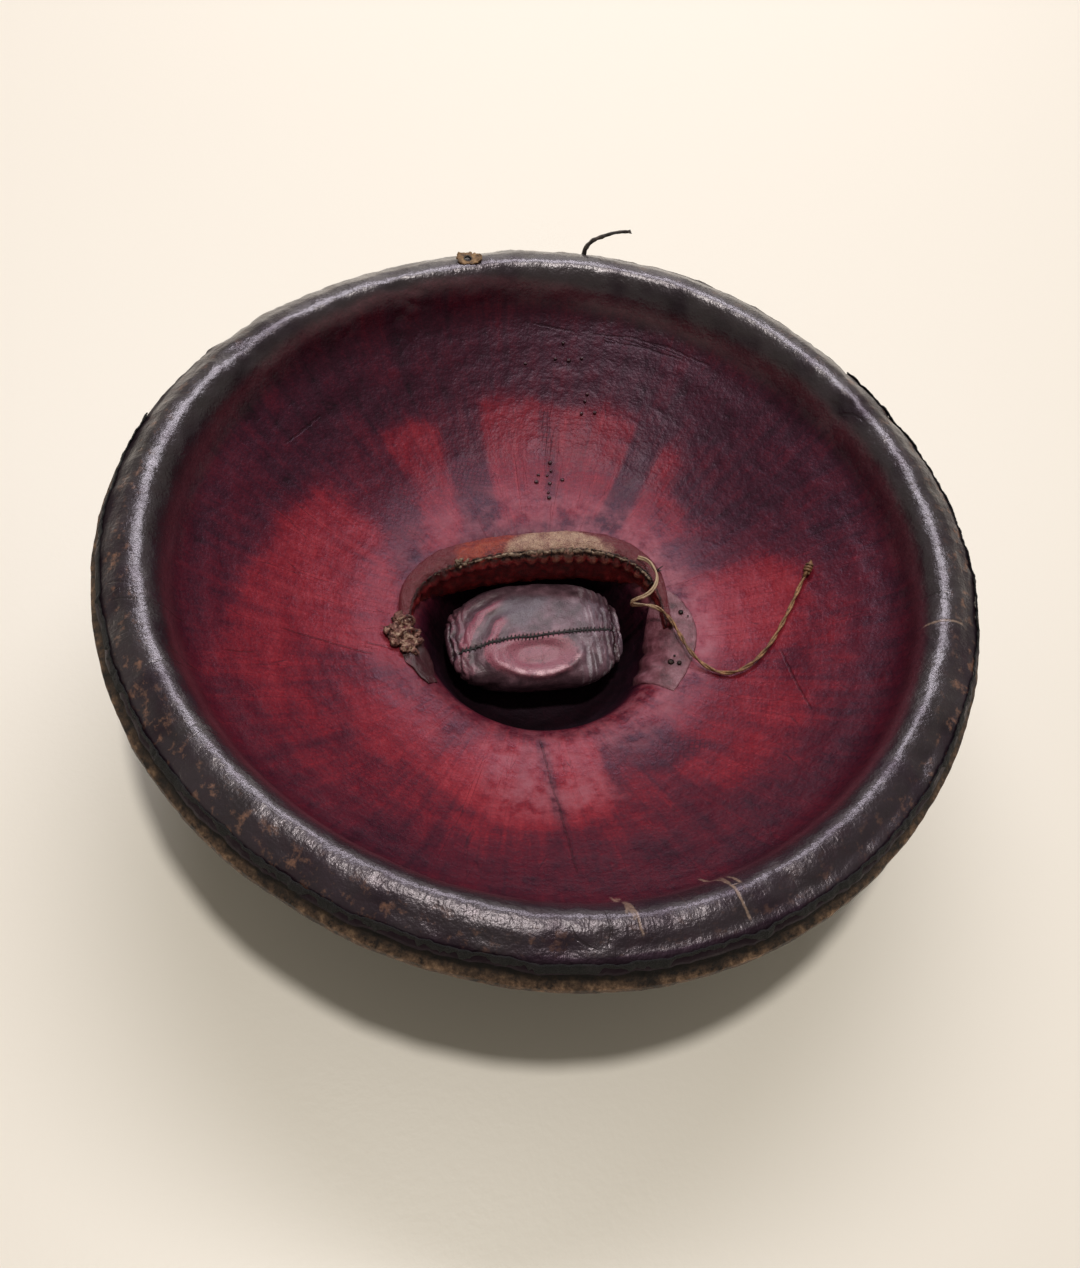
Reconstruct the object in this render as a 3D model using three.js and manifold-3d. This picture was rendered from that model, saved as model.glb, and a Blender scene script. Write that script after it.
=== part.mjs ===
// Round hide shield, lying on the boss of its front with the hollow back up.
// Millimetres, +Z up. The origin is the middle of the small flat spot under the boss, and X runs
// along the arched grip, from its left foot to its right foot.
import * as THREE from 'three';
import { mergeVertices } from 'three/addons/utils/BufferGeometryUtils.js';
import Module from 'manifold-3d';

// ---- driving dimensions ----
const RIM_R = 260;              // raw outer edge of the hide
const CREST_Z = 159.8;          // top of the rolled rim above the boss's flat spot
const WELL_R = 80;              // mouth of the well inside the boss
const LIP_Z = 66.5;             // lip of the well
const FLOOR_Z = 14;             // floor of the well
const FLAT_R = 32;              // flat spot under the boss
const LINING_T = 2.6;           // lining leather
const CLEAR = 0.3;              // gap between pieces that touch
const AROUND = 40;              // facets round the shield

const RIM_WAVES = [             // waves of the outline: count, height in mm, phase in degrees
  [2, 1.3, 63],
  [3, 2.3, 133],
  [4, 1.2, -62],
  [5, 1.1, -29],
];
const RIM_TIP = 3;              // the rim stands higher by this much at RIM_TIP_AT, in degrees
const RIM_TIP_AT = 150;
const WELL_FLAT = 0.18;         // how far the well's far side is drawn in, as a share of its radius
const LIFT = 4.2;               // the lining's torn edge lifts off the hide by this much at most
const LIFT_MID = -62;           // middle of the lifted stretch, in degrees
const LIFT_HALF = 62;           // half of its length, in degrees

const GRIP_TALL = 34;           // the grip's band, on edge
const GRIP_THICK = 16;
const GRIP_FOOT = 0.42;         // height of the band at its feet, as a share of GRIP_TALL
const GRIP_THIN = 0.3;          // thickness of the band at its feet, as a share of GRIP_THICK
const FLAP_T = 3;               // flaps at the grip's feet
const FLAP_STEPS = 8;
const REST = 0.5;               // clearance under what lies on the faceted lining
const PAD = { x: 60, y: 41, cy: 0.5, low: FLOOR_Z + 0.6, high: 57 };
const PAD_ROUND = { side: 0.42, corner: 0.62, top: 0.55 };   // 1 is a ball, and less is more like a block
const PAD_WAIST = 0.2;          // how much narrower the pad is at its foot
const PAD_ENDS = 2.5;           // how much lower its top is at the ends
const DIMPLE = { x: -6, y: -8, rx: 27, ry: 19, deep: 6 };
const CORD_D = 2.8;
const KNOT_L = 11;
const KNOT_R = 2.7;
const KNOT_RISE = 1.3;
const FOOT_TIE_R = 2.9;         // the first turn of the tie round the left foot
const RIM_THONG_R = 2;
const TAB_T = 2.2;

const HIDE = { color: 0x2b211d, roughness: 0.8, metalness: 0 };
const RED = { color: 0x6d2229, roughness: 0.45, metalness: 0 };
const GRIP_RED = { color: 0x5a1413, roughness: 0.55, metalness: 0 };
const PINK = { color: 0x8a6370, roughness: 0.5, metalness: 0 };
const THONG = { color: 0x8f6b48, roughness: 0.8, metalness: 0 };
const DARK_THONG = { color: 0x3a2f28, roughness: 0.8, metalness: 0 };

// ---- sections of the shield, as radius and height ----
// Top of the lining: well floor, well wall, lip, dish, and the roll over the rim to its torn edge.
const LINING_TOP = [
  [0, FLOOR_Z],
  [26, FLOOR_Z],
  [46, 17],
  [58, 25],
  [66, 38],
  [71, 50],
  [WELL_R - 4, 60],
  [WELL_R + 4, LIP_Z],
  [WELL_R + 17, 70.2],
  [118, 75],
  [146, 87],
  [172, 102.5],
  [194, 117.5],
  [216, 136.5],
  [219.8, 145.5],
  [224, 154],
  [231, CREST_Z],
  [239, 159],
  [247, 154.6],
  [252, 149.4],
  [255, 144.2],
];
// Underside of the hide: flat spot, boss, dish, the hollow under the rim and the cut edge.
const HIDE_UNDER = [
  [0, 0],
  [FLAT_R, 0],
  [52, 4],
  [66, 14.5],
  [76, 29],
  [83, 45],
  [88.5, 53.5],
  [98, 58.5],
  [118, 63.5],
  [146, 75],
  [172, 89.5],
  [196, 105.5],
  [213.5, 119],
  [222, 130.5],
  [226.5, 141.5],
  [233, 148],
  [240.5, 147.2],
  [248, 141],
  [253.5, 132],
];
const EDGE_FACE = [
  [RIM_R - 0.8, 129.5],
  [RIM_R + 1, 133.5],
  [RIM_R + 0.6, 138],
];

// ---- helpers ----
const rad = THREE.MathUtils.degToRad;

function smooth(value, low, high) {
  return THREE.MathUtils.smoothstep(value, low, high);
}

// Height of a section at a radius, along its straight pieces.
function heightAt(section, radius) {
  for (let i = 1; i < section.length; i++) {
    const [r0, z0] = section[i - 1];
    const [r1, z1] = section[i];
    if (radius <= r1 && radius >= r0) {
      return z0 + (z1 - z0) * (radius - r0) / (r1 - r0);
    }
  }
  return section[section.length - 1][1];
}

// The same section moved square to itself, to the right of its direction of travel.
function offsetSection(section, distance) {
  return section.map((point, i) => {
    const before = section[Math.max(i - 1, 0)];
    const after = section[Math.min(i + 1, section.length - 1)];
    const dr = after[0] - before[0];
    const dz = after[1] - before[1];
    const length = Math.hypot(dr, dz);
    const radius = i === 0 ? 0 : point[0] + distance * dz / length;
    return [radius, point[1] - distance * dr / length];
  });
}

// Makes every face point out of the body.
function facingOut(geometry) {
  geometry.deleteAttribute('normal');
  geometry.deleteAttribute('uv');
  const merged = mergeVertices(geometry, 1e-4);
  const place = merged.attributes.position;
  const index = merged.index.array;
  const a = new THREE.Vector3();
  const b = new THREE.Vector3();
  const c = new THREE.Vector3();
  let volume = 0;
  const kept = [];
  for (let i = 0; i < index.length; i += 3) {
    const corner = [index[i], index[i + 1], index[i + 2]];
    if (new Set(corner).size < 3) continue;
    a.fromBufferAttribute(place, corner[0]);
    b.fromBufferAttribute(place, corner[1]);
    c.fromBufferAttribute(place, corner[2]);
    volume += a.dot(b.cross(c));
    kept.push(corner);
  }
  const turned = volume < 0 ? kept.map(([p, q, s]) => [p, s, q]) : kept;
  merged.setIndex(turned.flat());
  return merged;
}

// Moves every vertex of a geometry by a function of its place.
function warp(geometry, move) {
  const place = geometry.attributes.position;
  const point = new THREE.Vector3();
  for (let i = 0; i < place.count; i++) {
    point.fromBufferAttribute(place, i);
    move(point);
    place.setXYZ(i, point.x, point.y, point.z);
  }
  return geometry;
}

// A body turned from a section that starts and ends on the Z axis.
function turned(section) {
  const points = section.map(([r, z]) => new THREE.Vector2(Math.max(r, 0), z));
  return new THREE.LatheGeometry(points, AROUND).rotateX(Math.PI / 2);
}

// A closed body through a row of rings that have the same number of points.
function loft(rings) {
  const size = rings[0].length;
  const places = rings.flat().flatMap((p) => [p.x, p.y, p.z]);
  const index = [];
  for (let i = 0; i + 1 < rings.length; i++) {
    for (let j = 0; j < size; j++) {
      const a = i * size + j;
      const b = i * size + (j + 1) % size;
      index.push(a, b, b + size, a, b + size, a + size);
    }
  }
  for (const [ring, flip] of [[0, true], [rings.length - 1, false]]) {
    const middle = new THREE.Vector3();
    rings[ring].forEach((p) => middle.addScaledVector(p, 1 / size));
    const centre = places.length / 3;
    places.push(middle.x, middle.y, middle.z);
    for (let j = 0; j < size; j++) {
      const a = ring * size + j;
      const b = ring * size + (j + 1) % size;
      index.push(...(flip ? [b, a, centre] : [a, b, centre]));
    }
  }
  const geometry = new THREE.BufferGeometry();
  geometry.setAttribute('position', new THREE.Float32BufferAttribute(places, 3));
  geometry.setIndex(index);
  return facingOut(geometry);
}

// ---- solids joined and cut ----
const wasm = await Module();
wasm.setup();

function solidOf(geometry) {
  const merged = facingOut(geometry);
  const mesh = new wasm.Mesh({
    numProp: 3,
    vertProperties: new Float32Array(merged.attributes.position.array),
    triVerts: new Uint32Array(merged.index.array),
  });
  return new wasm.Manifold(mesh);
}

function geometryOf(solid) {
  const mesh = solid.getMesh();
  const geometry = new THREE.BufferGeometry();
  geometry.setAttribute('position', new THREE.BufferAttribute(mesh.vertProperties, 3));
  geometry.setIndex(new THREE.BufferAttribute(mesh.triVerts, 1));
  return geometry;
}

function joined(geometries) {
  return geometryOf(geometries.map(solidOf).reduce((sum, next) => sum.add(next)));
}

function piece(name, geometry, look) {
  const mesh = new THREE.Mesh(geometry, new THREE.MeshStandardMaterial(look));
  mesh.name = name;
  return mesh;
}

// ---- the shield's own unevenness, shared by hide and lining ----
function outOfRound(point) {
  const radius = Math.hypot(point.x, point.y);
  if (radius < 1e-6) return;
  const angle = Math.atan2(point.y, point.x);
  const far = Math.max(0, Math.sin(angle)) ** 2;
  let grown = radius * (1 - WELL_FLAT * far * (1 - smooth(radius, WELL_R, 135)));
  for (const [count, height, phase] of RIM_WAVES) {
    grown += height * Math.cos(count * angle - rad(phase)) * smooth(radius, 130, RIM_R - 20);
  }
  point.x *= grown / radius;
  point.y *= grown / radius;
  point.z += RIM_TIP * Math.cos(angle - rad(RIM_TIP_AT)) * smooth(radius, 160, RIM_R - 15);
}

// Height of the lining's top at a place, with the well's drawn-in far side.
function liningHeight(x, y) {
  const wanted = Math.hypot(x, y);
  const far = Math.max(0, y / wanted) ** 2;
  let radius = wanted;
  for (let i = 0; i < 12; i++) {
    radius = wanted / (1 - WELL_FLAT * far * (1 - smooth(radius, WELL_R, 135)));
  }
  return heightAt(LINING_TOP, radius);
}

// The lining's torn edge stands off the hide along one stretch and is ragged all round.
function tornEdge(point) {
  const radius = Math.hypot(point.x, point.y);
  const share = smooth(radius, 245, 255);
  if (share === 0) return;
  const angle = THREE.MathUtils.radToDeg(Math.atan2(point.y, point.x));
  const lifted = Math.cos(Math.min(1, Math.abs(angle - LIFT_MID) / LIFT_HALF) * Math.PI / 2);
  const ragged = 1.2 + Math.sin(rad(angle * 11)) * 0.6 + Math.sin(rad(angle * 7 + 40)) * 0.6;
  point.z += share * (LIFT * lifted + 0.5);
  const grown = 1 + share * ragged / radius;
  point.x *= grown;
  point.y *= grown;
}

function hideShell() {
  const top = offsetSection(LINING_TOP, LINING_T + CLEAR);
  const section = [...HIDE_UNDER, ...EDGE_FACE, ...top.reverse()];
  return facingOut(warp(turned(section), outOfRound));
}

function backLining() {
  const under = offsetSection(LINING_TOP, LINING_T);
  const section = [...under, ...[...LINING_TOP].reverse()];
  const geometry = warp(turned(section), tornEdge);
  return facingOut(warp(geometry, outOfRound));
}

// ---- the arched grip: a stout leather band on edge, lying back against the well's far lip ----
// Its near top edge, foot to foot.
const GRIP_EDGE = new THREE.CatmullRomCurve3([
  new THREE.Vector3(-82, -14, 71),
  new THREE.Vector3(-81, 8, 72.5),
  new THREE.Vector3(-74, 24, 75.5),
  new THREE.Vector3(-60, 34.5, 78.5),
  new THREE.Vector3(-38, 40, 81),
  new THREE.Vector3(0, 42.5, 83),
  new THREE.Vector3(38, 41, 82.5),
  new THREE.Vector3(59, 35.5, 80),
  new THREE.Vector3(73, 25, 76.5),
  new THREE.Vector3(79, 8, 72.5),
  new THREE.Vector3(80, -12, 71),
]);
const GRIP_STEPS = 22;

// The band's section, across (0 on the near face, 1 on the back) and down (0 top, 1 bottom).
const GRIP_SECTION = [
  [0, 0],
  [0.28, -0.07],
  [0.72, -0.06],
  [1.12, 0.08],
  [1.1, 0.4],
  [0.92, 0.9],
  [0.6, 1],
  [0.12, 0.97],
  [-0.04, 0.8],
  [0.02, 0.35],
];

function gripBand() {
  const rings = [];
  for (let i = 0; i <= GRIP_STEPS; i++) {
    const share = i / GRIP_STEPS;
    const edge = GRIP_EDGE.getPointAt(share);
    const along = GRIP_EDGE.getTangentAt(share).setZ(0).normalize();
    const back = new THREE.Vector3(-along.y, along.x, 0);
    const full = smooth(Math.sin(share * Math.PI), 0.1, 0.85);
    const tall = GRIP_TALL * (GRIP_FOOT * (1 - full) + full);
    const thick = GRIP_THICK * (GRIP_THIN * (1 - full) + full);
    rings.push(GRIP_SECTION.map(([across, down]) => {
      const point = edge.clone().addScaledVector(back, across * thick);
      const rest = liningHeight(point.x, point.y) + REST + 1.6 * (1 - down);
      return point.setZ(Math.max(edge.z - down * tall, rest));
    }));
  }
  return loft(rings);
}

// A flap that lies on the lining beside the well, between two angles.
function flap(from, to, inner, outer) {
  const rings = [];
  for (let i = 0; i <= FLAP_STEPS; i++) {
    const share = i / FLAP_STEPS;
    const angle = rad(from + (to - from) * share);
    const round = Math.sqrt(Math.max(0.08, 1 - (2 * share - 1) ** 2));
    const middle = (inner + outer) / 2;
    const half = (outer - inner) / 2 * (0.35 + 0.65 * round);
    const radii = [-1, -0.4, 0.3, 1].map((side) => middle + side * half);
    const low = radii.map((r) => {
      const x = r * Math.cos(angle);
      const y = r * Math.sin(angle);
      return new THREE.Vector3(x, y, liningHeight(x, y) + REST);
    });
    const high = low.map((p, k) => p.clone().setZ(p.z + FLAP_T * (k % 3 === 0 ? 0.6 : 1)));
    rings.push([...low, ...high.reverse()]);
  }
  return loft(rings);
}

// Trims whatever would dip into the lining, and leaves a small gap to it.
function trimmedToLining(geometries) {
  const bed = offsetSection(LINING_TOP, -CLEAR).reverse();
  const outer = RIM_R + 40;
  const ground = [[0, -40], [outer, -40], [outer, bed[0][1]], ...bed];
  const cutter = warp(turned(ground), outOfRound);
  const sum = geometries.map(solidOf).reduce((all, next) => all.add(next));
  return geometryOf(sum.subtract(solidOf(cutter)));
}

function archedGrip() {
  return trimmedToLining([gripBand(), flap(-36, 8, 79, 101), flap(170, 206, 80, 98)]);
}

// ---- the stuffed pad in the well ----
function wellPad() {
  const ball = new THREE.SphereGeometry(1, 24, 12).rotateX(Math.PI / 2);
  const power = (value, exponent) => Math.sign(value) * Math.abs(value) ** exponent;
  const half = (PAD.high - PAD.low) / 2;
  return facingOut(warp(ball, (p) => {
    const flat = Math.hypot(p.x, p.y);
    const side = power(flat, PAD_ROUND.side);
    const turn = Math.atan2(p.y, p.x);
    const x = power(Math.cos(turn), PAD_ROUND.corner) * side;
    const y = power(Math.sin(turn), PAD_ROUND.corner) * side;
    const up = power(p.z, PAD_ROUND.top);
    const waist = 1 - PAD_WAIST * smooth(-up, -0.5, 1);
    p.set(PAD.x * x * waist, PAD.cy + PAD.y * y * waist, PAD.low + half * (1 + up));
    if (up > 0) {
      const away = Math.hypot((p.x - DIMPLE.x) / DIMPLE.rx, (p.y - DIMPLE.y) / DIMPLE.ry);
      p.z -= DIMPLE.deep * (1 - smooth(away, 0.35, 1.15));
      p.z -= PAD_ENDS * smooth(Math.abs(p.x) / PAD.x, 0.5, 1);
    }
  }));
}

// ---- tubes ----
// A tube of flat sides along a curve.
function tube(curve, radius, sides, steps) {
  const ring = new THREE.Shape();
  for (let i = 0; i < sides; i++) {
    const turn = i / sides * 2 * Math.PI;
    const x = radius * Math.cos(turn);
    const y = radius * Math.sin(turn);
    if (i === 0) ring.moveTo(x, y);
    else ring.lineTo(x, y);
  }
  ring.closePath();
  return new THREE.ExtrudeGeometry(ring, { steps, bevelEnabled: false, extrudePath: curve });
}

function curveThrough(points) {
  return new THREE.CatmullRomCurve3(points.map(([x, y, z]) => new THREE.Vector3(x, y, z)));
}

// The thong: out of the grip's right shoulder, round a loop over the lip, and out over the dish.
const THONG_ROUTE = [
  [69.4, 34.6, 82.2],
  [73.2, 29.7, 85.7],
  [75.8, 22, 88.2],
  [76.7, 13.7, 88.8],
  [74.1, 7.1, 88.4],
  [70.3, 3.2, 87.4],
  [65.5, 1, 85.9],
  [61, 0.8, 83.6],
  [58.8, 1.2, 80.2],
  [60.2, 1.8, 76.8],
  [64.5, 2.1, 75.2],
  [69, 1.4, 75.6],
  [73.5, -0.5, 76.2],
  [78, -3.8, 76.2],
  [81.8, -8.7, 75.4],
  [84.5, -14.8, 74.8],
  [86.8, -22.7, 74.8],
  [89, -32.7, 75.8],
  [92.4, -41.3, 76.8],
  [97.6, -47.6, 76],
  [102.6, -52.4, 76.9],
  [107.8, -55.7, 78.9],
  [113.4, -56.9, 81.3],
  [121.6, -55.1, 84.2],
  [130.1, -50, 86.7],
  [139.4, -41.4, 89.3],
  [148.6, -30.2, 92.9],
  [156.4, -19.5, 96.5],
  [162.8, -9.9, 99.7],
  [167.2, -3.5, 102.2],
];

// ---- the worn tie round the left foot ----
function footTie() {
  const over = (x, y, up) => [x, y, liningHeight(x, y) + FLAP_T + up];
  const turns = [
    [over(-103, -16, 1.6), over(-96, -10, 5.2), over(-90, -6, 6.6), over(-85.5, -3, 6.2)],
    [over(-97, -1, 2.6), over(-92, -8, 6.8), over(-91, -17, 6.8), over(-93, -27, 3)],
    [over(-88, 3, 6.4), over(-92, -3, 8.2), over(-95, -11, 6.6), over(-98, -20, 2.4)],
  ];
  return joined(turns.map((turn, i) => tube(curveThrough(turn), FOOT_TIE_R - 0.3 * i, 7, 9)));
}

// ---- small things on the rim ----
function rimThong() {
  const route = curveThrough([
    [61.5, 249, 150],
    [64.4, 250.4, 156.8],
    [72, 251, 162],
    [82, 252.5, 164.5],
    [92, 253.5, 164.4],
  ]);
  return tube(route, RIM_THONG_R, 7, 12);
}

function rimTab() {
  const tab = new THREE.Shape();
  tab.moveTo(-9, -5);
  tab.lineTo(8, -6);
  tab.quadraticCurveTo(11, 0, 6, 5);
  tab.lineTo(-3, 6);
  tab.quadraticCurveTo(-9, 3, -9, -5);
  const geometry = new THREE.ExtrudeGeometry(tab, { depth: TAB_T, bevelEnabled: false, curveSegments: 4 });
  return geometry.rotateX(rad(-2)).rotateZ(rad(6)).translate(-22, 232.5, CREST_Z + 2);
}

// ---- the shield ----
const shield = new THREE.Group();
const thongCurve = curveThrough(THONG_ROUTE);
const knot = new THREE.SphereGeometry(1, 12, 8).scale(KNOT_R, KNOT_R, KNOT_L / 2);
const knotWay = thongCurve.getTangentAt(1);
knot.applyQuaternion(new THREE.Quaternion().setFromUnitVectors(new THREE.Vector3(0, 0, 1), knotWay));
const knotMiddle = thongCurve.getPointAt(1).addScaledVector(knotWay, KNOT_L / 2 + CLEAR);
knot.translate(knotMiddle.x, knotMiddle.y, knotMiddle.z + KNOT_RISE);

shield.add(piece('hide_shell', hideShell(), HIDE));
shield.add(piece('back_lining', backLining(), RED));
shield.add(piece('arched_grip', archedGrip(), GRIP_RED));
shield.add(piece('well_pad', wellPad(), PINK));
shield.add(piece('grip_thong', facingOut(tube(thongCurve, CORD_D / 2, 8, 46)), THONG));
shield.add(piece('grip_thong_knot', facingOut(knot), THONG));
shield.add(piece('left_foot_tie', footTie(), THONG));
shield.add(piece('rim_thong', facingOut(rimThong()), DARK_THONG));
shield.add(piece('rim_tab', facingOut(rimTab()), THONG));

export default shield;
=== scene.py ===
# Round hide shield, lying on its boss with the red-lined back up: looks, stage and camera.
import math
import random
from functools import partial

import bmesh
import bpy
import numpy as np
from bpy.props import FloatProperty, FloatVectorProperty, IntProperty, PointerProperty
from mathutils import Matrix, Vector, noise
from mathutils.bvhtree import BVHTree


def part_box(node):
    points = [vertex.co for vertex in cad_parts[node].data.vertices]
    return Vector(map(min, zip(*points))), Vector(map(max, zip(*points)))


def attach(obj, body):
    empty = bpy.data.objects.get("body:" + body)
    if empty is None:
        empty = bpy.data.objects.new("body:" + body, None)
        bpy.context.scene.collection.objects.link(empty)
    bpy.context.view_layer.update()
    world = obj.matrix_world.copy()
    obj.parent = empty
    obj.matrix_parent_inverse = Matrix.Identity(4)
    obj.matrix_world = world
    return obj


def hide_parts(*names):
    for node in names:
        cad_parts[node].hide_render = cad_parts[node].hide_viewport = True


bl_info = {
    "name": "Hide Shield",
    "version": (1, 0, 0),
    "blender": (4, 5, 0),
    "location": "View3D > Sidebar > Shield",
    "description": "Builds the lining, grip, pad and trim of a round hide shield on its solids",
    "category": "Object",
}

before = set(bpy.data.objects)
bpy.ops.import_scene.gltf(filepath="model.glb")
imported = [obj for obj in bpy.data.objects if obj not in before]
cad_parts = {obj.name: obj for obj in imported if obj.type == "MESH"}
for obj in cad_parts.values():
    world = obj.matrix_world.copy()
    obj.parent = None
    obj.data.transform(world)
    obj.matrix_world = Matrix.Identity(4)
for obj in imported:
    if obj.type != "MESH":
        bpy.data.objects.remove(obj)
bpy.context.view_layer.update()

MM = 0.001
TAU = 2 * math.pi

# ---- the shield's section, in mm: radius and height ----
LINING_TOP = [
    (0, 14), (26, 14), (46, 17), (58, 25), (66, 38), (71, 50), (76, 60), (84, 66.5), (97, 70.2),
    (118, 75), (146, 87), (172, 102.5), (194, 117.5), (216, 136.5), (219.8, 145.5), (224, 154),
    (231, 159.8), (239, 159), (247, 154.6), (252, 149.4), (255, 144.2),
]
HIDE_UNDER = [
    (0, 0), (32, 0), (52, 4), (66, 14.5), (76, 29), (83, 45), (88.5, 53.5), (98, 58.5),
    (118, 63.5), (146, 75), (172, 89.5), (196, 105.5), (213.5, 119), (222, 130.5), (226.5, 141.5),
    (233, 148), (240.5, 147.2), (248, 141), (253.5, 132),
]
CUT_EDGE = [(259.2, 129.5), (261, 133.5), (260.6, 138)]
HIDE_GAP = 2.9                  # lining leather and the gap under it
LINING_THICK = 2.0
LIP_R = 84                      # the well's lip
WELL_R, WELL_END = 80, 135      # the well's far side comes back to round between these
WELL_FLAT = 0.18                # share by which that side is drawn in
RIM_WAVES = [(2, 1.3, 63), (3, 2.3, 133), (4, 1.2, -62), (5, 1.1, -29)]     # count, mm, degrees
RIM_TIP, RIM_TIP_AT = 3, 150    # mm by which the rim tips up, and the side in degrees
LIFT, LIFT_MID, LIFT_HALF = 4.2, -62, 62    # the torn edge off the hide: mm, middle, half its arc

# ---- the grip's near top edge, foot to foot, and its band's section (across, down) ----
GRIP_EDGE = [
    (-82, -14, 71), (-81, 8, 72.5), (-74, 24, 75.5), (-60, 34.5, 78.5), (-38, 40, 81),
    (0, 42.5, 83), (38, 41, 82.5), (59, 35.5, 80), (73, 25, 76.5), (79, 8, 72.5), (80, -12, 71),
]
GRIP_SECTION = [
    (0, 0), (0.28, -0.07), (0.72, -0.06), (1.12, 0.08), (1.1, 0.4), (0.92, 0.9), (0.6, 1),
    (0.12, 0.97), (-0.04, 0.8), (0.02, 0.35),
]
GRIP_TALL, GRIP_THICK = 34, 16
GRIP_FOOT, GRIP_THIN = 0.42, 0.3    # shares of them that are left at the feet
PLEAT_STEP, PLEAT_DOWN = 8.2, 6.0   # from pleat to pleat, and their depth under the edge

# ---- the thong, from the grip's right shoulder to its knot ----
THONG_ROUTE = [
    (69.4, 34.6, 82.2), (73.2, 29.7, 85.7), (75.8, 22, 88.2), (76.7, 13.7, 88.8),
    (74.1, 7.1, 88.4), (70.3, 3.2, 87.4), (65.5, 1, 85.9), (61, 0.8, 83.6), (58.8, 1.2, 80.2),
    (60.2, 1.8, 76.8), (64.5, 2.1, 75.2), (69, 1.4, 75.6), (73.5, -0.5, 76.2), (78, -3.8, 76.2),
    (81.8, -8.7, 75.4), (84.5, -14.8, 74.8), (86.8, -22.7, 74.8), (89, -32.7, 75.8),
    (92.4, -41.3, 76.8), (97.6, -47.6, 76), (102.6, -52.4, 76.9), (107.8, -55.7, 78.9),
    (113.4, -56.9, 81.3), (121.6, -55.1, 84.2), (130.1, -50, 86.7), (139.4, -41.4, 89.3),
    (148.6, -30.2, 92.9), (156.4, -19.5, 96.5), (162.8, -9.9, 99.7), (167.2, -3.5, 102.2),
]

# ---- the camera: its lens, place and the directions of its view ----
LENS = 36.909
EYE = (-0.1361, -0.4519, 0.7493)
RIGHT, UP, AHEAD = (0.9838, -0.1501, 0.0978), (0.0717, 0.8302, 0.5528), (0.1641, 0.5368, -0.8276)


# ---- small helpers ----
def linear(code):
    """An sRGB hex colour as linear RGBA."""
    parts = [int(code[i:i + 2], 16) / 255 for i in (1, 3, 5)]
    return (*(c / 12.92 if c <= 0.04045 else ((c + 0.055) / 1.055) ** 2.4 for c in parts), 1.0)


def shades(tint, *factors):
    """A linear colour made lighter or darker by each of some factors."""
    return [(*(min(1.0, c * factor) for c in tint[:3]), 1.0) for factor in factors]


def smooth(value, low, high):
    """0 up to low, 1 from high on, eased between them."""
    share = min(1.0, max(0.0, (value - low) / (high - low)))
    return share * share * (3 - 2 * share)


def soft(values, low, high):
    """The same for an array."""
    share = np.clip((values - low) / (high - low), 0, 1)
    return share * share * (3 - 2 * share)


def bell(values, wide):
    """1 at 0, falling off on both sides within about wide."""
    return np.exp(-(values / wide) ** 2)


def smooth_line(points, step):
    """A smooth line through the points, with a point about every step mm."""
    knots = [Vector(p) for p in points]
    gaps = [(b - a).length for a, b in zip(knots, knots[1:])]
    ways = []
    for i, knot in enumerate(knots):
        if i == 0:
            ways.append((knots[1] - knot) / gaps[0])
        elif i == len(knots) - 1:
            ways.append((knot - knots[-2]) / gaps[-1])
        else:
            before, after = gaps[i - 1], gaps[i]
            back = (knot - knots[i - 1]) / before
            ahead = (knots[i + 1] - knot) / after
            ways.append((back * after + ahead * before) / (before + after))
    line = []
    for i, gap in enumerate(gaps):
        count = max(1, round(gap / step))
        for k in range(count):
            t = k / count
            line.append(
                knots[i] * (2 * t ** 3 - 3 * t ** 2 + 1)
                + ways[i] * gap * (t ** 3 - 2 * t ** 2 + t)
                + knots[i + 1] * (3 * t ** 2 - 2 * t ** 3)
                + ways[i + 1] * gap * (t ** 3 - t ** 2)
            )
    return line + [knots[-1]]


def smooth_section(points):
    """A closed section with extra points between the given ones."""
    around = points + points[:1]
    fine = smooth_line([(p[0] * 10, p[1] * 10) for p in around], 0.75)[:-1]
    return [(p.x / 10, p.y / 10) for p in fine]


def offset_section(section, distance):
    """The section moved square to itself, to the right of its direction of travel."""
    moved = []
    for i, point in enumerate(section):
        before = section[max(i - 1, 0)]
        after = section[min(i + 1, len(section) - 1)]
        dr, dz = after[0] - before[0], after[1] - before[1]
        length = math.hypot(dr, dz)
        radius = 0 if i == 0 else point[0] + distance * dz / length
        moved.append((radius, point[1] - distance * dr / length))
    return moved


def level_way(co):
    """The level direction from the shield's middle to a place."""
    radius = co.xy.length
    return Vector((co.x / radius, co.y / radius, 0))


def drawn_in(radius, far):
    """The factor by which the well's far side stands nearer the middle."""
    return 1 - WELL_FLAT * far * (1 - smooth(radius, WELL_R, WELL_END))


def tipped(radius, angle):
    """How far the rim's tip lifts a place, in mm."""
    return RIM_TIP * math.cos(angle - math.radians(RIM_TIP_AT)) * smooth(radius, 160, 245)


def out_of_round(co):
    """The shield's own unevenness, shared by hide and lining."""
    radius = math.hypot(co.x, co.y)
    if radius < 1e-6:
        return
    angle = math.atan2(co.y, co.x)
    grown = radius * drawn_in(radius, max(0.0, math.sin(angle)) ** 2)
    for count, height, phase in RIM_WAVES:
        wave = math.cos(count * angle - math.radians(phase))
        grown += height * wave * smooth(radius, 130, 240)
    co.x *= grown / radius
    co.y *= grown / radius
    co.z += tipped(radius, angle)


def lining_height(x, y):
    """Height of the lining's top at a place."""
    wanted = math.hypot(x, y)
    far = max(0.0, y / wanted) ** 2
    radius = wanted
    for _ in range(12):
        radius = wanted / drawn_in(radius, far)
    tip = tipped(radius, math.atan2(y, x))
    for (r0, z0), (r1, z1) in zip(LINING_TOP, LINING_TOP[1:]):
        if r0 <= radius <= r1:
            return z0 + (z1 - z0) * (radius - r0) / (r1 - r0) + tip
    return LINING_TOP[-1][1] + tip


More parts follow.
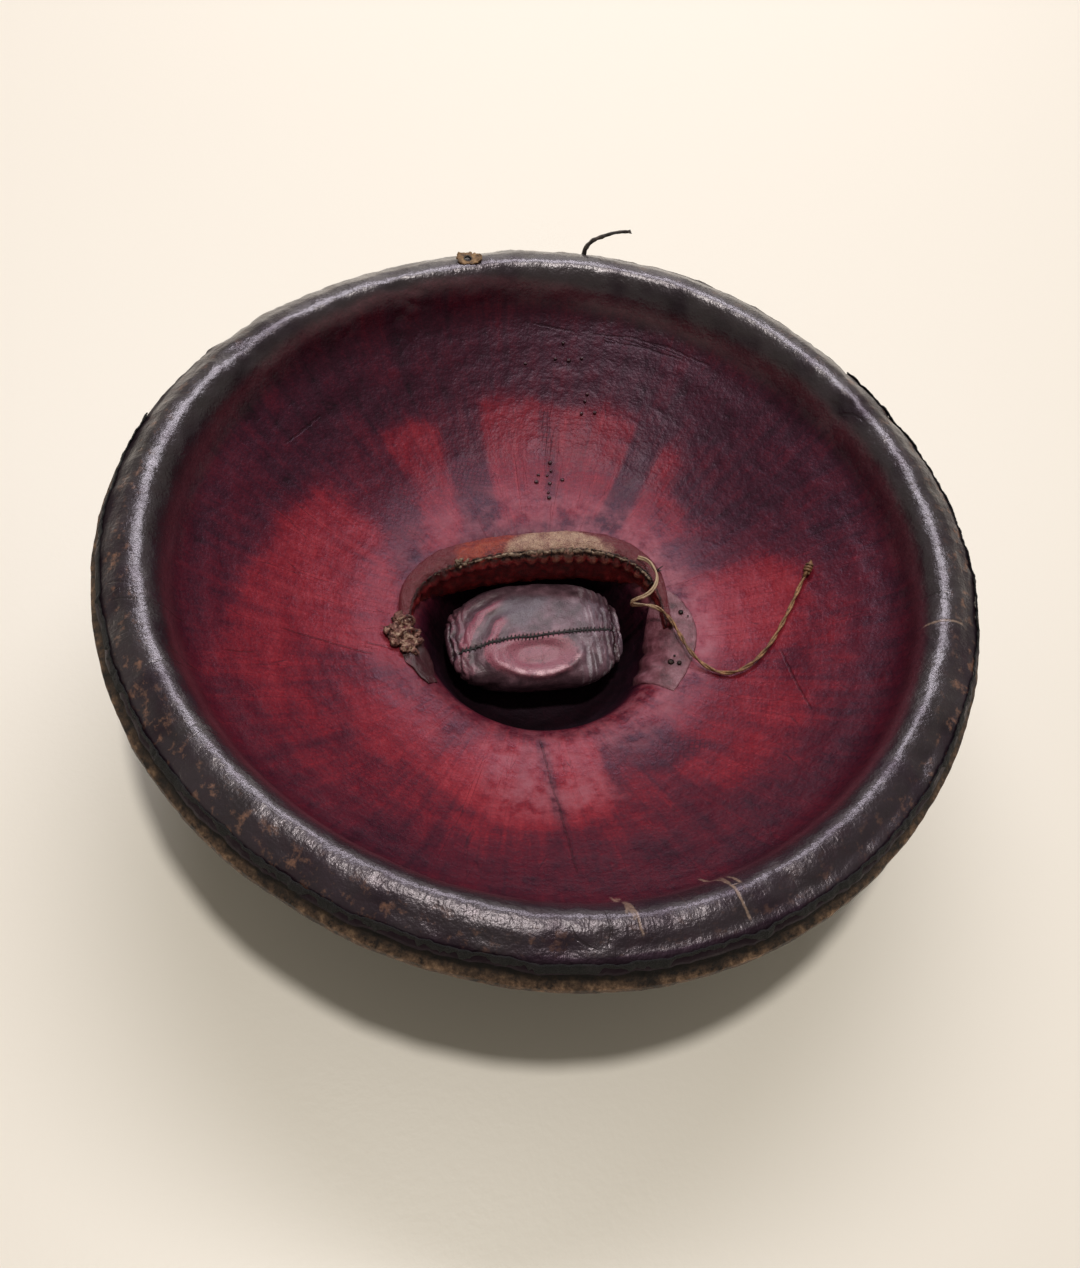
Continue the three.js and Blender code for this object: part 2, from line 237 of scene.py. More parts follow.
BED = smooth_line(LINING_TOP, 1.0)
LIP = next(i for i, p in enumerate(BED) if p.x > LIP_R)


def bed(angle, along, up):
    """A place over the lining: degrees round, mm outwards from the lip along it, mm off it."""
    spot = min(max(LIP + along, 1), len(BED) - 3)
    i = int(spot)
    here = BED[i].lerp(BED[i + 1], spot - i)
    way = (BED[i + 2] - BED[i - 1]).normalized()
    radius, height = here.x - way.y * up, here.y + way.x * up
    turn = math.radians(angle)
    place = Vector((radius * math.cos(turn), radius * math.sin(turn), height))
    out_of_round(place)
    return place


def on_bed(x, y, up):
    """A place over the lining, by level coordinates and mm off it."""
    height = lining_height(x, y)
    lean = Vector((
        lining_height(x - 0.5, y) - lining_height(x + 0.5, y),
        lining_height(x, y - 0.5) - lining_height(x, y + 0.5), 1,
    )).normalized()
    return Vector((x, y, height)) + lean * up


def rough(point, size, seed=0.0):
    """Fractal noise of about -1 to 1 whose largest lumps are size mm across."""
    return noise.fractal(Vector(point) / size + Vector((seed, seed * 0.7, -seed)), 1.0, 2.0, 3)


def mottling(at, size, octaves):
    """Fractal noise at rows of places; size is its lumps' width in mm, or one for each axis."""
    return np.array([noise.fractal(Vector(p), 1.0, 2.0, octaves) for p in at.astype(float) / size])


def spun(bm, section, steps):
    """Turns a section that starts and ends on the Z axis."""
    verts = [bm.verts.new((max(r, 0), 0, z)) for r, z in section]
    edges = [bm.edges.new(pair) for pair in zip(verts, verts[1:])]
    bmesh.ops.spin(
        bm, geom=verts + edges, cent=(0, 0, 0), axis=(0, 0, 1), angle=TAU, steps=steps,
        use_merge=True,
    )
    bmesh.ops.remove_doubles(bm, verts=bm.verts, dist=0.02)
    bmesh.ops.recalc_face_normals(bm, faces=bm.faces)


def swept(bm, rings):
    """A closed body through rings of the same count, made by extruding the first one along."""
    slot = bm.verts.layers.int.get("slot") or bm.verts.layers.int.new("slot")
    begun = bmesh.ops.create_circle(bm, cap_ends=True, segments=len(rings[0]), radius=1)["verts"]
    bm.verts.ensure_lookup_table()
    for k, vert in enumerate(begun):
        vert[slot] = k
        vert.co = rings[0][k]
    edges = list({e for v in begun for e in v.link_edges})
    for ring in rings[1:]:
        made = bmesh.ops.extrude_edge_only(bm, edges=edges)["geom"]
        edges = [e for e in made if isinstance(e, bmesh.types.BMEdge)]
        front = {v for v in made if isinstance(v, bmesh.types.BMVert)}
        edges = [e for e in edges if e.verts[0] in front and e.verts[1] in front]
        for vert in front:
            vert.co = ring[vert[slot]]
        begun += list(front)
    bmesh.ops.edgeloop_fill(bm, edges=edges)
    faces = list({f for v in begun for f in v.link_faces})
    bmesh.ops.recalc_face_normals(bm, faces=faces)
    return begun


def heading(line, i):
    """The way that a line of points runs at one of them."""
    return line[min(i + 1, len(line) - 1)] - line[max(i - 1, 0)]


def frames(line):
    """Each point of a line with two directions square to it that turn as little as they can."""
    side = heading(line, 0).normalized().orthogonal().normalized()
    for i, point in enumerate(line):
        way = heading(line, i).normalized()
        side = (side - way * side.dot(way)).normalized()
        yield point, side, way.cross(side)


def round_rings(line, radius, sides, flat=1.0, wobble=0.0, seed=0.0):
    """Rings round a line; radius is a number or a function of the share along it."""
    rings = []
    for i, (point, side, up) in enumerate(frames(line)):
        share = i / max(1, len(line) - 1)
        size = radius(share) if callable(radius) else radius
        ring = []
        for k in range(sides):
            turn = TAU * k / sides
            lump = noise.noise(point * 0.35 + Vector((math.cos(turn), math.sin(turn), seed)))
            reach = side * math.cos(turn) + up * math.sin(turn) * flat
            ring.append(point + reach * size * (1 + wobble * lump))
        rings.append(ring)
    return rings


def wisp(bm, points, thick, loss, sides):
    """A tapering end through the points: its radius at the root, and what it loses to the tip."""
    swept(bm, round_rings(points, lambda share: thick - loss * share, sides))


def thickened(bm, thickness):
    """Turns an open sheet to face up and gives it a wall."""
    if sum(face.normal.z for face in bm.faces) < 0:
        bmesh.ops.reverse_faces(bm, faces=bm.faces)
    bmesh.ops.solidify(bm, geom=bm.faces, thickness=thickness)
    bmesh.ops.recalc_face_normals(bm, faces=bm.faces)


def finished(bm, name, look, replaces=()):
    """Turns a bmesh in mm into a piece that rides on the shield."""
    bmesh.ops.scale(bm, vec=(MM, MM, MM), verts=bm.verts)
    for face in bm.faces:
        face.smooth = True
    mesh = bpy.data.meshes.new(name)
    bm.to_mesh(mesh)
    bm.free()
    mesh.materials.append(look)
    piece = bpy.data.objects.new(name, mesh)
    bpy.context.scene.collection.objects.link(piece)
    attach(piece, "root")
    if replaces:
        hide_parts(*replaces)
    return piece


def painted(piece, **numbers):
    """Puts numbers on each vertex, under the names that the piece's material reads."""
    for name, values in numbers.items():
        made = piece.data.attributes.new(name, "FLOAT", "POINT")
        made.data.foreach_set("value", np.asarray(values, np.float32))


def places(piece):
    """The piece's vertices in mm, as rows."""
    co = np.empty(len(piece.data.vertices) * 3, np.float32)
    piece.data.vertices.foreach_get("co", co)
    return co.reshape(-1, 3) / MM


def patch(x, y, outline, edge):
    """1 inside an outline, 0 outside, turning over a band edge mm wide."""
    near = np.full(x.shape, 1e9)
    inside = np.zeros(x.shape, bool)
    for (ax, ay), (bx, by) in zip(outline, outline[1:] + outline[:1]):
        dx, dy = bx - ax, by - ay
        t = np.clip(((x - ax) * dx + (y - ay) * dy) / (dx * dx + dy * dy), 0, 1)
        near = np.minimum(near, np.hypot(x - ax - t * dx, y - ay - t * dy))
        if by != ay:
            crosses = (ay > y) != (by > y)
            inside ^= crosses & (x < dx * (y - ay) / dy + ax)
    return soft(np.where(inside, near, -near), -edge / 2, edge / 2)


def beside(x, y, lines):
    """The distance to the nearest of some lines, positive on one side and negative on the other,
    and a number that is 1 beside them and fades past their ends."""
    near = np.full(x.shape, 1e9)
    side = np.full(x.shape, 99.0)
    along = np.zeros(x.shape)
    for points in lines:
        for k, ((ax, ay), (bx, by)) in enumerate(zip(points, points[1:])):
            dx, dy = bx - ax, by - ay
            length = math.hypot(dx, dy)
            t = ((x - ax) * dx + (y - ay) * dy) / length ** 2
            held = np.clip(t, 0, 1)
            gap = np.hypot(x - ax - held * dx, y - ay - held * dy)
            closer = gap < near
            near = np.where(closer, gap, near)
            side = np.where(closer, ((x - ax) * dy - (y - ay) * dx) / length, side)
            past = np.zeros(x.shape)
            if k == 0:
                past = np.maximum(past, -t * length)
            if k == len(points) - 2:
                past = np.maximum(past, (t - 1) * length)
            along = np.where(closer, 1 - soft(past, -2, 1.5), along)
    return side, along


# ---- materials ----
def feed(made, inputs):
    """Sets or links a node's inputs, by number or name. A hex colour is made linear."""
    for key, value in inputs.items():
        if isinstance(value, bpy.types.NodeSocket):
            made.id_data.links.new(value, made.inputs[key])
        else:
            made.inputs[key].default_value = linear(value) if isinstance(value, str) else value


def add(tree, kind, *values, at=None, stops=None, out=0, **named):
    """Adds a node with its settings and links, and gives one of its outputs. A kind in capitals is
    the operation of a Math node. Values go to the first inputs, and at holds others by number.
    Names that start with a capital are inputs, with _ for a space, and the rest are settings."""
    if kind.isupper():
        kind, named["operation"] = "Math", kind
    made = tree.nodes.new("ShaderNode" + kind)
    inputs = dict(enumerate(values)) | (at or {})
    for name, value in named.items():
        if name[0].isupper():
            inputs[name.replace("_", " ")] = value
        else:
            setattr(made, name, value)
    feed(made, inputs)
    if stops:
        while len(made.color_ramp.elements) < len(stops):
            made.color_ramp.elements.new(0.5)
        for element, (place, tint) in zip(made.color_ramp.elements, stops):
            element.position = place
            element.color = linear(tint) if isinstance(tint, str) else tint
    return made.outputs[out] if made.outputs else None


def started(name):
    """A new material, the function that adds its nodes, its shader, and places on it in mm."""
    look = bpy.data.materials.new(name)
    look.use_nodes = True
    look.node_tree.nodes.clear()
    node = partial(add, look.node_tree)
    surface = node("BsdfPrincipled")
    node("OutputMaterial", Surface=surface)
    mm = node("VectorMath", node("TexCoord", out="Object"), Scale=1 / MM, operation="SCALE")
    return look, node, surface.node, mm


def laid(node, base, *layers):
    """A colour with others laid over it in turn, each by its share of the surface."""
    for share, tint in layers:
        base = node("Mix", share, at={6: base, 7: tint}, data_type="RGBA", out=2)
    return base


def summed(node, total, *parts):
    """A number plus others in turn, each times its weight."""
    for value, weight in parts:
        total = node("MULTIPLY_ADD", value, weight, total)
    return total


def leather(name, tones, lumps, grain, dull=0.5, gloss=0.1, seed=0, deep=0.3, over=()):
    """A worn leather: three tones by lumps, fine grain in the relief and uneven gloss. Lumps, grain
    and the relief's depth are in mm. over holds pairs of the name of numbers painted on the piece
    and the colour that they lay on top."""
    look, node, shader, mm = started(name)
    at = node("VectorMath", mm, (seed, seed * 3, seed * 7), operation="ADD")
    cloud = node("TexNoise", Vector=at, Scale=1 / lumps, Detail=6.0, Roughness=0.62)
    fine = node("TexNoise", Vector=at, Scale=1 / (grain / 2.2), Detail=4.0, Roughness=0.6)
    pores = node("TexVoronoi", Vector=at, Scale=1 / grain)
    tint = node("ValToRGB", cloud, stops=list(zip((0.32, 0.5, 0.68), tones)))
    lively = node("MULTIPLY_ADD", fine, 3.0, -1.0, use_clamp=True)
    uneven = [(node("SUBTRACT", cloud, 0.5), 1.3), (node("SUBTRACT", fine, 0.5), 1.5)]
    for numbers, code in over:
        broken = summed(node, node("Attribute", attribute_name=numbers, out="Fac"), *uneven)
        share = node("MapRange", broken, From_Min=0.25, From_Max=0.8)
        dark, light = shades(linear(code), 0.5, 1.35)
        tint = laid(node, tint, (share, laid(node, dark, (lively, light))))
    relief = summed(node, fine, (pores, 0.6), (cloud, 2.0))
    feed(shader, {
        "Base Color": tint,
        "Normal": node("Bump", Strength=0.7, Distance=deep * MM, Height=relief),
        "Roughness": node(
            "MapRange", fine, From_Min=0.3, From_Max=0.7, To_Min=dull - gloss, To_Max=dull + gloss,
        ),
        "IOR": 1.5,
    })
    return look


LINING_COLOURS = {
    "black": "#12040b", "maroon": "#310b1a", "wine": "#4f0f1e", "red": "#761823",
    "bright": "#912b33", "ink": "#260e1a", "rubbed": "#9c5c66", "rim_dark": "#0d090d",
    "rim": "#251a24", "rose": "#5e2f39", "scuff": "#7a5743", "pale": "#b89c86", "soot": "#080304",
}


def lining_leather(dyes):
    """Thin goatskin, dyed red with madder and burnished by hand: mottled red on the dish with rays
    painted round the well, darker towards the rim, and a purple-black, almost polished rim."""
    look, node, shader, mm = started("Red dyed goatskin, burnished")
    tone, hatch, rim, bare, scuff, soot, ridge, waxed, cut_gap, cut_on, crack_gap, crack_on = (
        node("Attribute", attribute_name=name, out="Fac")
        for name in (
            "tone", "hatch", "rim", "bare", "scuff", "soot", "ridge", "waxed",
            "cut_gap", "cut_on", "crack_gap", "crack_on",
        )
    )

    # directions round the shield and out from its middle, for streaks that follow it
    level = node("VectorMath", mm, (1, 1, 0), operation="MULTIPLY")
    way = node("VectorMath", level, operation="NORMALIZE")
    out = node("CombineXYZ", Z=node("VectorMath", level, operation="LENGTH", out="Value"))

    def polar(around, along):
        """Coordinates with a cell every around mm at the rim and every along mm outwards."""
        turn = node("VectorMath", way, Scale=235 / around, operation="SCALE")
        far = node("VectorMath", out, Scale=1 / along, operation="SCALE")
        return node("VectorMath", turn, far, operation="ADD")

    # lumps in mm, or streaks along polar coordinates, with their detail and roughness
    mottle, blot, fine, dents, rays, rings, worn, across_rim, stray, waver = (
        node("TexNoise", Vector=vector, Scale=1 / size, Detail=detail, Roughness=rough_share)
        for vector, size, detail, rough_share in (
            (mm, 34, 7.0, 0.66), (mm, 11, 5.0, 0.62), (mm, 1.8, 3.0, 0.6), (mm, 17, 3.0, 0.6),
            (polar(9, 70), 1, 5.0, 0.66), (polar(60, 7), 1, 5.0, 0.6), (polar(7, 6), 1, 6.0, 0.68),
            (polar(2.6, 30), 1, 5.0, 0.6), (mm, 5, 3.0, 0.6), (mm, 4, 3.0, 0.6),
        )
    )

    # how red: the painted tone, broken up by blots and by strokes round and out
    broken = summed(node, tone, *(
        (node("SUBTRACT", cloud, 0.5), much)
        for cloud, much in ((mottle, 0.5), (blot, 0.5), (rays, 0.7), (rings, 0.3), (fine, 0.45))
    ))
    steps = zip((0.0, 0.26, 0.52, 0.78, 1.0), ("black", "maroon", "wine", "red", "bright"))
    dyed = node("ValToRGB", broken, stops=[(place, dyes[name]) for place, name in steps])

    # fine crossing pen strokes in the dark fields between the rays, about 3 mm apart
    strokes = []
    for turn in (0.32, 1.75):
        slanted = node("Mapping", Vector=mm, Rotation=(0, 0, turn))
        wave = node(
            "TexWave", Vector=slanted, Scale=1 / 9.5, Distortion=3.5, Detail=3.0, Detail_Scale=0.6,
            out="Fac",
        )
        strokes.append(node("POWER", wave, 6.0))
    patchy = node("MULTIPLY_ADD", mottle, 3.0, -1.0, use_clamp=True)
    net = node("MULTIPLY", node("MAXIMUM", *strokes), patchy)
    net = node("MULTIPLY", net, hatch, use_clamp=True)

    # rubbed grey-pink where hands and the grip have polished it, and a painted pink sheen, mostly
    # round the well
    rubbed = node("MULTIPLY_ADD", blot, 3.0, -1.15, use_clamp=True)
    rubbed = node("MULTIPLY", bare, rubbed, use_clamp=True)

    # short dark scratches, longer outwards than round
    scratch = node("TexVoronoi", Vector=polar(6, 34), Scale=1.0, feature="DISTANCE_TO_EDGE")
    scratch = node("MapRange", scratch, From_Max=0.05, To_Min=1.0, To_Max=0.0)
    lying = node("MULTIPLY_ADD", rays, 6.0, -3.1, use_clamp=True)
    scratch = node("MULTIPLY", scratch, lying, use_clamp=True)

    # the rim's purple-black, a rose seam line on its inner side that is partly a painted highlight,
    # and brown scuffs on its outer side
    rim_share = node("MULTIPLY_ADD", node("SUBTRACT", blot, 0.5), 0.7, rim, use_clamp=True)
    lighter = node("MULTIPLY_ADD", mottle, 2.2, -0.6, use_clamp=True)
    rim_tone = laid(node, dyes["rim_dark"], (lighter, dyes["rim"]))
    rose = node("MULTIPLY", ridge, fine, use_clamp=True)
    scuffed = node("MULTIPLY_ADD", worn, 7.0, -3.8, use_clamp=True)
    scuffed = node("MULTIPLY", scuff, scuffed, use_clamp=True)

    # dark cracks and pale cuts along given lines
    def thin(gap, on, wide, cloud):
        wavy = node("MULTIPLY_ADD", node("SUBTRACT", cloud, 0.5), 2.2, gap)
        line = node(
            "MapRange", node("ABSOLUTE", wavy), From_Min=wide * 0.4, From_Max=wide,
            To_Min=1.0, To_Max=0.0,
        )
        return node("MULTIPLY", line, on, use_clamp=True)

    crack = thin(crack_gap, crack_on, 0.9, stray)
    cut = thin(cut_gap, cut_on, 1.0, waver)
    # the soot colour also lays painted shade over the deep part of the well
    dyed = laid(
        node, dyed,
        (node("MULTIPLY", net, 0.8), dyes["ink"]),
        (rubbed, dyes["rubbed"]),
        (node("MULTIPLY", scratch, 0.85), dyes["ink"]),
        (rim_share, rim_tone),
        (rose, dyes["rose"]),
        (scuffed, dyes["scuff"]),
        (crack, dyes["soot"]),
        (node("MULTIPLY", cut, node("MULTIPLY_ADD", fine, 1.6, 0.1)), dyes["pale"]),
        (soot, dyes["soot"]),
    )

    # relief: skin grain, soft dents, wrinkles across the rim, and the cracks
    grain = node("TexVoronoi", Vector=mm, Scale=1 / 1.5)
    height = summed(
        node, node("MULTIPLY", dents, 2.0), (blot, 1.8), (node("MULTIPLY", across_rim, rim), 0.4),
        (grain, 0.12), (fine, 0.28), (rings, 0.35), (scratch, -0.2), (crack, -0.9), (cut, -0.6),
    )
    bump = node("Bump", Strength=0.8, Distance=0.6 * MM, Height=height)
    dull = summed(
        node, node("MULTIPLY_ADD", blot, 0.3, 0.3),
        (rim, -0.12), (scuffed, 0.25), (soot, 0.3), (net, 0.1),
    )
    # the dye tints what the red skin reflects, and the rim's wax lies over it as a clear coat
    wax = node("MULTIPLY_ADD", waxed, 0.95, 0.04)
    feed(shader, {
        "Base Color": dyed,
        "Normal": bump,
        "Roughness": dull,
        "IOR": 1.5,
        "Specular IOR Level": 0.3,
        "Specular Tint": "#f8cdf0",
        "Coat Weight": node("SUBTRACT", wax, soot, use_clamp=True),
        "Coat Normal": bump,
        "Coat Roughness": 0.31,
        "Coat IOR": 1.8,
    })
    return look


def raw_hide():
    """Thick sun-dried raw hide, darkened by smoke and handling: hard and dull, with the brown of
    the hide showing where its cut edge is rubbed, and black as painted shade under the lining's
    lifted edge."""
    look, node, shader, mm = started("Smoked raw hide")
    cut, tucked = (
        node("Attribute", attribute_name=name, out="Fac") for name in ("cut", "tucked")
    )
    cloud = node("TexNoise", Vector=mm, Scale=1 / 20, Detail=8.0, Roughness=0.65)
    fibres = node("TexNoise", Vector=mm, Scale=1 / 4.5, Detail=6.0, Roughness=0.7)
    skin = node("ValToRGB", cloud, stops=[(0.3, "#0b0909"), (0.5, "#171213"), (0.72, "#2e2421")])
    worn = node("ValToRGB", fibres, stops=[(0.38, "#1c1512"), (0.54, "#6d5543"), (0.7, "#a5866a")])
    patchy = node("MULTIPLY_ADD", cloud, 5.0, -1.6, use_clamp=True)
    height = summed(node, cloud, (fibres, 0.6))
    feed(shader, {
        "Base Color": laid(node, skin, (node("MULTIPLY", cut, patchy), worn), (tucked, "#050304")),
        "Normal": node("Bump", Strength=0.8, Distance=1.2 * MM, Height=height),
        "Roughness": node("MULTIPLY_ADD", fibres, 0.4, 0.36),
        "IOR": 1.5,
        "Specular IOR Level": 0.3,
    })
    return look


# ---- what a user may change ----
def colour(name, description, code):
    return FloatVectorProperty(
        name=name, description=description, default=linear(code)[:3], subtype="COLOR", min=0, max=1,
    )


def number(name, description, default, least=0.0, unit="NONE"):
    return FloatProperty(name=name, description=description, default=default, min=least, unit=unit)


class ShieldStage(bpy.types.PropertyGroup):
    floor_colour: colour("Floor", "Colour of the plain floor", "#ebe5da")
    lamp_power: number("Lamp", "Power of the lamp overhead, in watts", 290, unit="POWER")
    lamp_size: number("Lamp size", "Width of the lamp overhead", 0.7, 0.01, "LENGTH")
    fill_power: number("Fill", "Power of the soft panel behind, in watts", 60, unit="POWER")
    wall_power: number("Far wall", "Power of the far wall's light, in watts", 10, unit="POWER")
    room_light: number("Room", "Strength of the light from the room", 0.27)


class ShieldSizes(bpy.types.PropertyGroup):
    steps: IntProperty(
        name="Steps round", description="Facets of the lining round the shield",
        default=480, min=64,
    )
    wrinkle: number("Rim wrinkles", "Height of the wrinkles across the rim, in mm", 0.5)
    thong: number("Thong", "Thickness of the grip thong", 2.8 * MM, 0.001, "LENGTH")
    stitch: number("Stitch", "From stitch to stitch on the grip", 5.2 * MM, 0.002, "LENGTH")
    pad_stitch: number("Pad stitch", "From stitch to stitch on the pad", 2.4 * MM, 0.001, "LENGTH")


class ShieldColours(bpy.types.PropertyGroup):
    pad: colour("Pad", "Leather of the stuffed pad", "#624852")
    grip: colour("Grip", "Leather of the grip", "#6b1216")
    thong: colour("Thong", "Twisted hide of the thong", "#7d5a3c")


def settings():
    return bpy.context.scene.shield_sizes


def tints():
    return bpy.context.scene.shield_colours


# ---- pieces ----
class SHIELD_OT_stage(bpy.types.Operator):
    """Floor, lamps and camera"""
    bl_idname = "shield.stage"
    bl_label = "Stage"

    def execute(self, context):
        stage = context.scene.shield_stage
        camera = bpy.data.cameras.new("camera")
        camera.lens = LENS
        camera.sensor_width = 36
        camera.clip_start, camera.clip_end = 0.01, 50
        eye = bpy.data.objects.new("camera", camera)
        turn = Matrix((RIGHT, UP, -Vector(AHEAD))).transposed()
        eye.matrix_world = Matrix.Translation(EYE) @ turn.to_4x4()
        context.scene.collection.objects.link(eye)
        context.scene.camera = eye
        context.scene.view_settings.view_transform = "Standard"

        bm = bmesh.new()
        bmesh.ops.create_grid(bm, x_segments=2, y_segments=2, size=4)
        mesh = bpy.data.meshes.new("floor")
        bm.to_mesh(mesh)
        bm.free()
        floor = bpy.data.objects.new("floor", mesh)
        context.scene.collection.objects.link(floor)
        # Sealed poured floor: smooth, pale, with a faint orange-peel that softens its gloss.
        look, node, shader, mm = started("Sealed pale floor")
        peel = node("TexNoise", Vector=mm, Scale=1 / 5, Detail=3.0, Roughness=0.6)
        feed(shader, {
            "Base Color": (*stage.floor_colour, 1),
            "Normal": node("Bump", Strength=0.3, Distance=0.3 * MM, Height=peel),
            "Roughness": 0.4,
        })
        mesh.materials.append(look)

        for name, place, wide, high, power, aim, tint in (
            ("lamp_over", (-0.05, -0.32, 8.0), stage.lamp_size, stage.lamp_size, stage.lamp_power,
             (0, 0, 0), "#fffaf2"),
            ("panel_behind", (0.4, 1.9, 2.7), 3.4, 0.6, stage.fill_power, (0, 0, 0.1), "#fbf8ff"),
            ("far_wall", (0.8, 3.5, 1.3), 3.0, 1.6, stage.wall_power, (0, 0, 0.1), "#fffaf4"),
        ):
            light = bpy.data.lights.new(name, "AREA")
            light.shape = "ELLIPSE"
            light.size, light.size_y = wide, high
            light.energy = power
            light.color = linear(tint)[:3]
            holder = bpy.data.objects.new(name, light)
            holder.location = place
            towards = Vector(aim) - Vector(place)
            holder.rotation_euler = towards.to_track_quat("-Z", "Y").to_euler()
            context.scene.collection.objects.link(holder)
        world = bpy.data.worlds.new("room")
        context.scene.world = world
        world.use_nodes = True
        sky = world.node_tree.nodes["Background"]
        sky.inputs[0].default_value = linear("#f4ebda")
        sky.inputs[1].default_value = stage.room_light
        return {"FINISHED"}


class SHIELD_OT_thong(bpy.types.Operator):
    """The grip thong, two plies twisted together, and its knot"""
    bl_idname = "shield.thong"
    bl_label = "Grip thong"

    def execute(self, context):
        # Raw hide thong, cut and twisted by hand: dry, brown and fibrous, paler where it loops.
        look = leather(
            "Twisted hide thong", shades(tints().thong, 0.35, 1, 1.9), 3.0, 0.6, 0.6,
            seed=3, deep=0.25, over=[("fair", "#b39b7e")],
        )
        line = smooth_line(THONG_ROUTE, 0.9)
        root = Vector(THONG_ROUTE[0])
        ply_r = settings().thong / MM * 0.26
        bm = bmesh.new()
        fair = bm.verts.layers.float.new("fair")
        for ply in (0, 1):
            made = swept(bm, round_rings(
                self.strand(line, ply, ply_r),
                lambda s: ply_r * (1 + 0.2 * noise.noise(Vector((s * 60, ply * 5, 0)))),
                8, wobble=0.12,
            ))
            for vert in made:
                near = 1 - smooth((vert.co - root).length, 27, 46)
                vert[fair] = 0.95 * near * (vert.co.x < 86)
        thong = finished(bm, "grip_thong_plies", look, ["grip_thong"])
        knot = self.knot(line, look)
        length = sum((b - a).length for a, b in zip(line, line[1:])) * MM
        [c * MM for c in THONG_ROUTE[0]]
        return {"FINISHED"}

    def strand(self, line, ply, ply_r):
        """The middle of one ply as it winds round the thong's line."""
        turn = math.pi * ply
        strand = []
        for i, (point, side, up) in enumerate(frames(line)):
            share = i / len(line)
            turn += 0.05 + 0.17 * smooth(share, 0.2, 0.34)
            turn += 0.06 * noise.noise(Vector((share * 30, 4, 0)))
            apart = 0.9 + 0.22 * noise.noise(Vector((share * 22, ply * 9, 3)))
            strand.append(point + (side * math.cos(turn) + up * math.sin(turn)) * ply_r * apart)
        return strand

    def knot(self, line, look):
        """The plies wrapped round themselves at the end, then frayed."""
        bm = bmesh.new()
        low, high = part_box("grip_thong_knot")
        middle = (low + high) / 2 / MM
        way = (line[-1] - line[-3]).normalized()
        side = way.orthogonal().normalized()
        up = way.cross(side)

        def round_it(turn):
            return side * math.cos(turn) + up * math.sin(turn)

        wraps = []
        for i in range(64):
            t = i / 63
            reach = 1.55 + 0.35 * math.sin(math.pi * t)
            wraps.append(middle + way * (-3.6 + 6.4 * t) + round_it(TAU * 3.2 * t) * reach)
        swept(bm, round_rings(wraps, 0.95, 7, wobble=0.3))
        core = [line[-1] - way * 0.5, middle - way * 3, middle, middle + way * 4.2]
        swept(bm, round_rings(core, 1.25, 8))
        dice = random.Random(4)
        for i in range(8):
            tip = way * dice.uniform(4.2, 6.6) + round_it(TAU * i / 8) * dice.uniform(0.6, 1.9)
            bend = middle + way * 4.0 + tip * 0.06
            wisp(bm, [middle + way * 3.0, bend, middle + tip], 0.42, 0.3, 5)
        return finished(bm, "grip_thong_end_knot", look, ["grip_thong_knot"])


class SHIELD_OT_hide(bpy.types.Operator):
    """The thick hide: boss, dish, turned rim and its cut edge"""
    bl_idname = "shield.hide"
    bl_label = "Hide body"

    def execute(self, context):
        top = offset_section(LINING_TOP, HIDE_GAP)
        under = [(p.x, p.y) for p in smooth_line(HIDE_UNDER, 3.2)]
        edge = [(p.x, p.y) for p in smooth_line(CUT_EDGE, 1.5)]
        section = under + edge + top[::-1]
        bm = bmesh.new()
        spun(bm, section, 360)
        plain = np.array([(vert.co.xy.length, vert.co.z) for vert in bm.verts])
        for vert in bm.verts:
            out_of_round(vert.co)
        bm.normal_update()
        for vert in bm.verts:
            radius = vert.co.xy.length
            if (vert.normal.z > 0.2 and radius < 252) or (radius < 34 and vert.co.z < 1):
                continue
            worn = smooth(radius, 225, 252)
            push = 0.7 * rough(vert.co, 34, 2) * (1 - worn)
            push += worn * (0.4 * rough(vert.co, 6, 5) + 0.5 * rough(vert.co, 24, 8) - 0.5)
            vert.co += vert.normal * push
            vert.co.z = max(vert.co.z, 0)
        bmesh.ops.recalc_face_normals(bm, faces=bm.faces)
        hide = finished(bm, "hide_body", raw_hide(), ["hide_shell"])
        at = places(hide)
        ragged = 1.2 * mottling(at, 14, 4)
        radius, height = plain[:, 0], plain[:, 1]
        lip = soft(radius, 252, 257) * (1 - soft(height, 132, 134))
        edge = 1 - soft(radius + ragged, 254.5, 256)
        painted(
            hide,
            cut=np.minimum(soft(radius + ragged, 258.7, 260.1) + lip, 1),
            # the hide's top under the lining's lifted edge is painted black as shade
            tucked=edge * soft(radius, 240, 250) * (height > 137),
        )
        return {"FINISHED"}


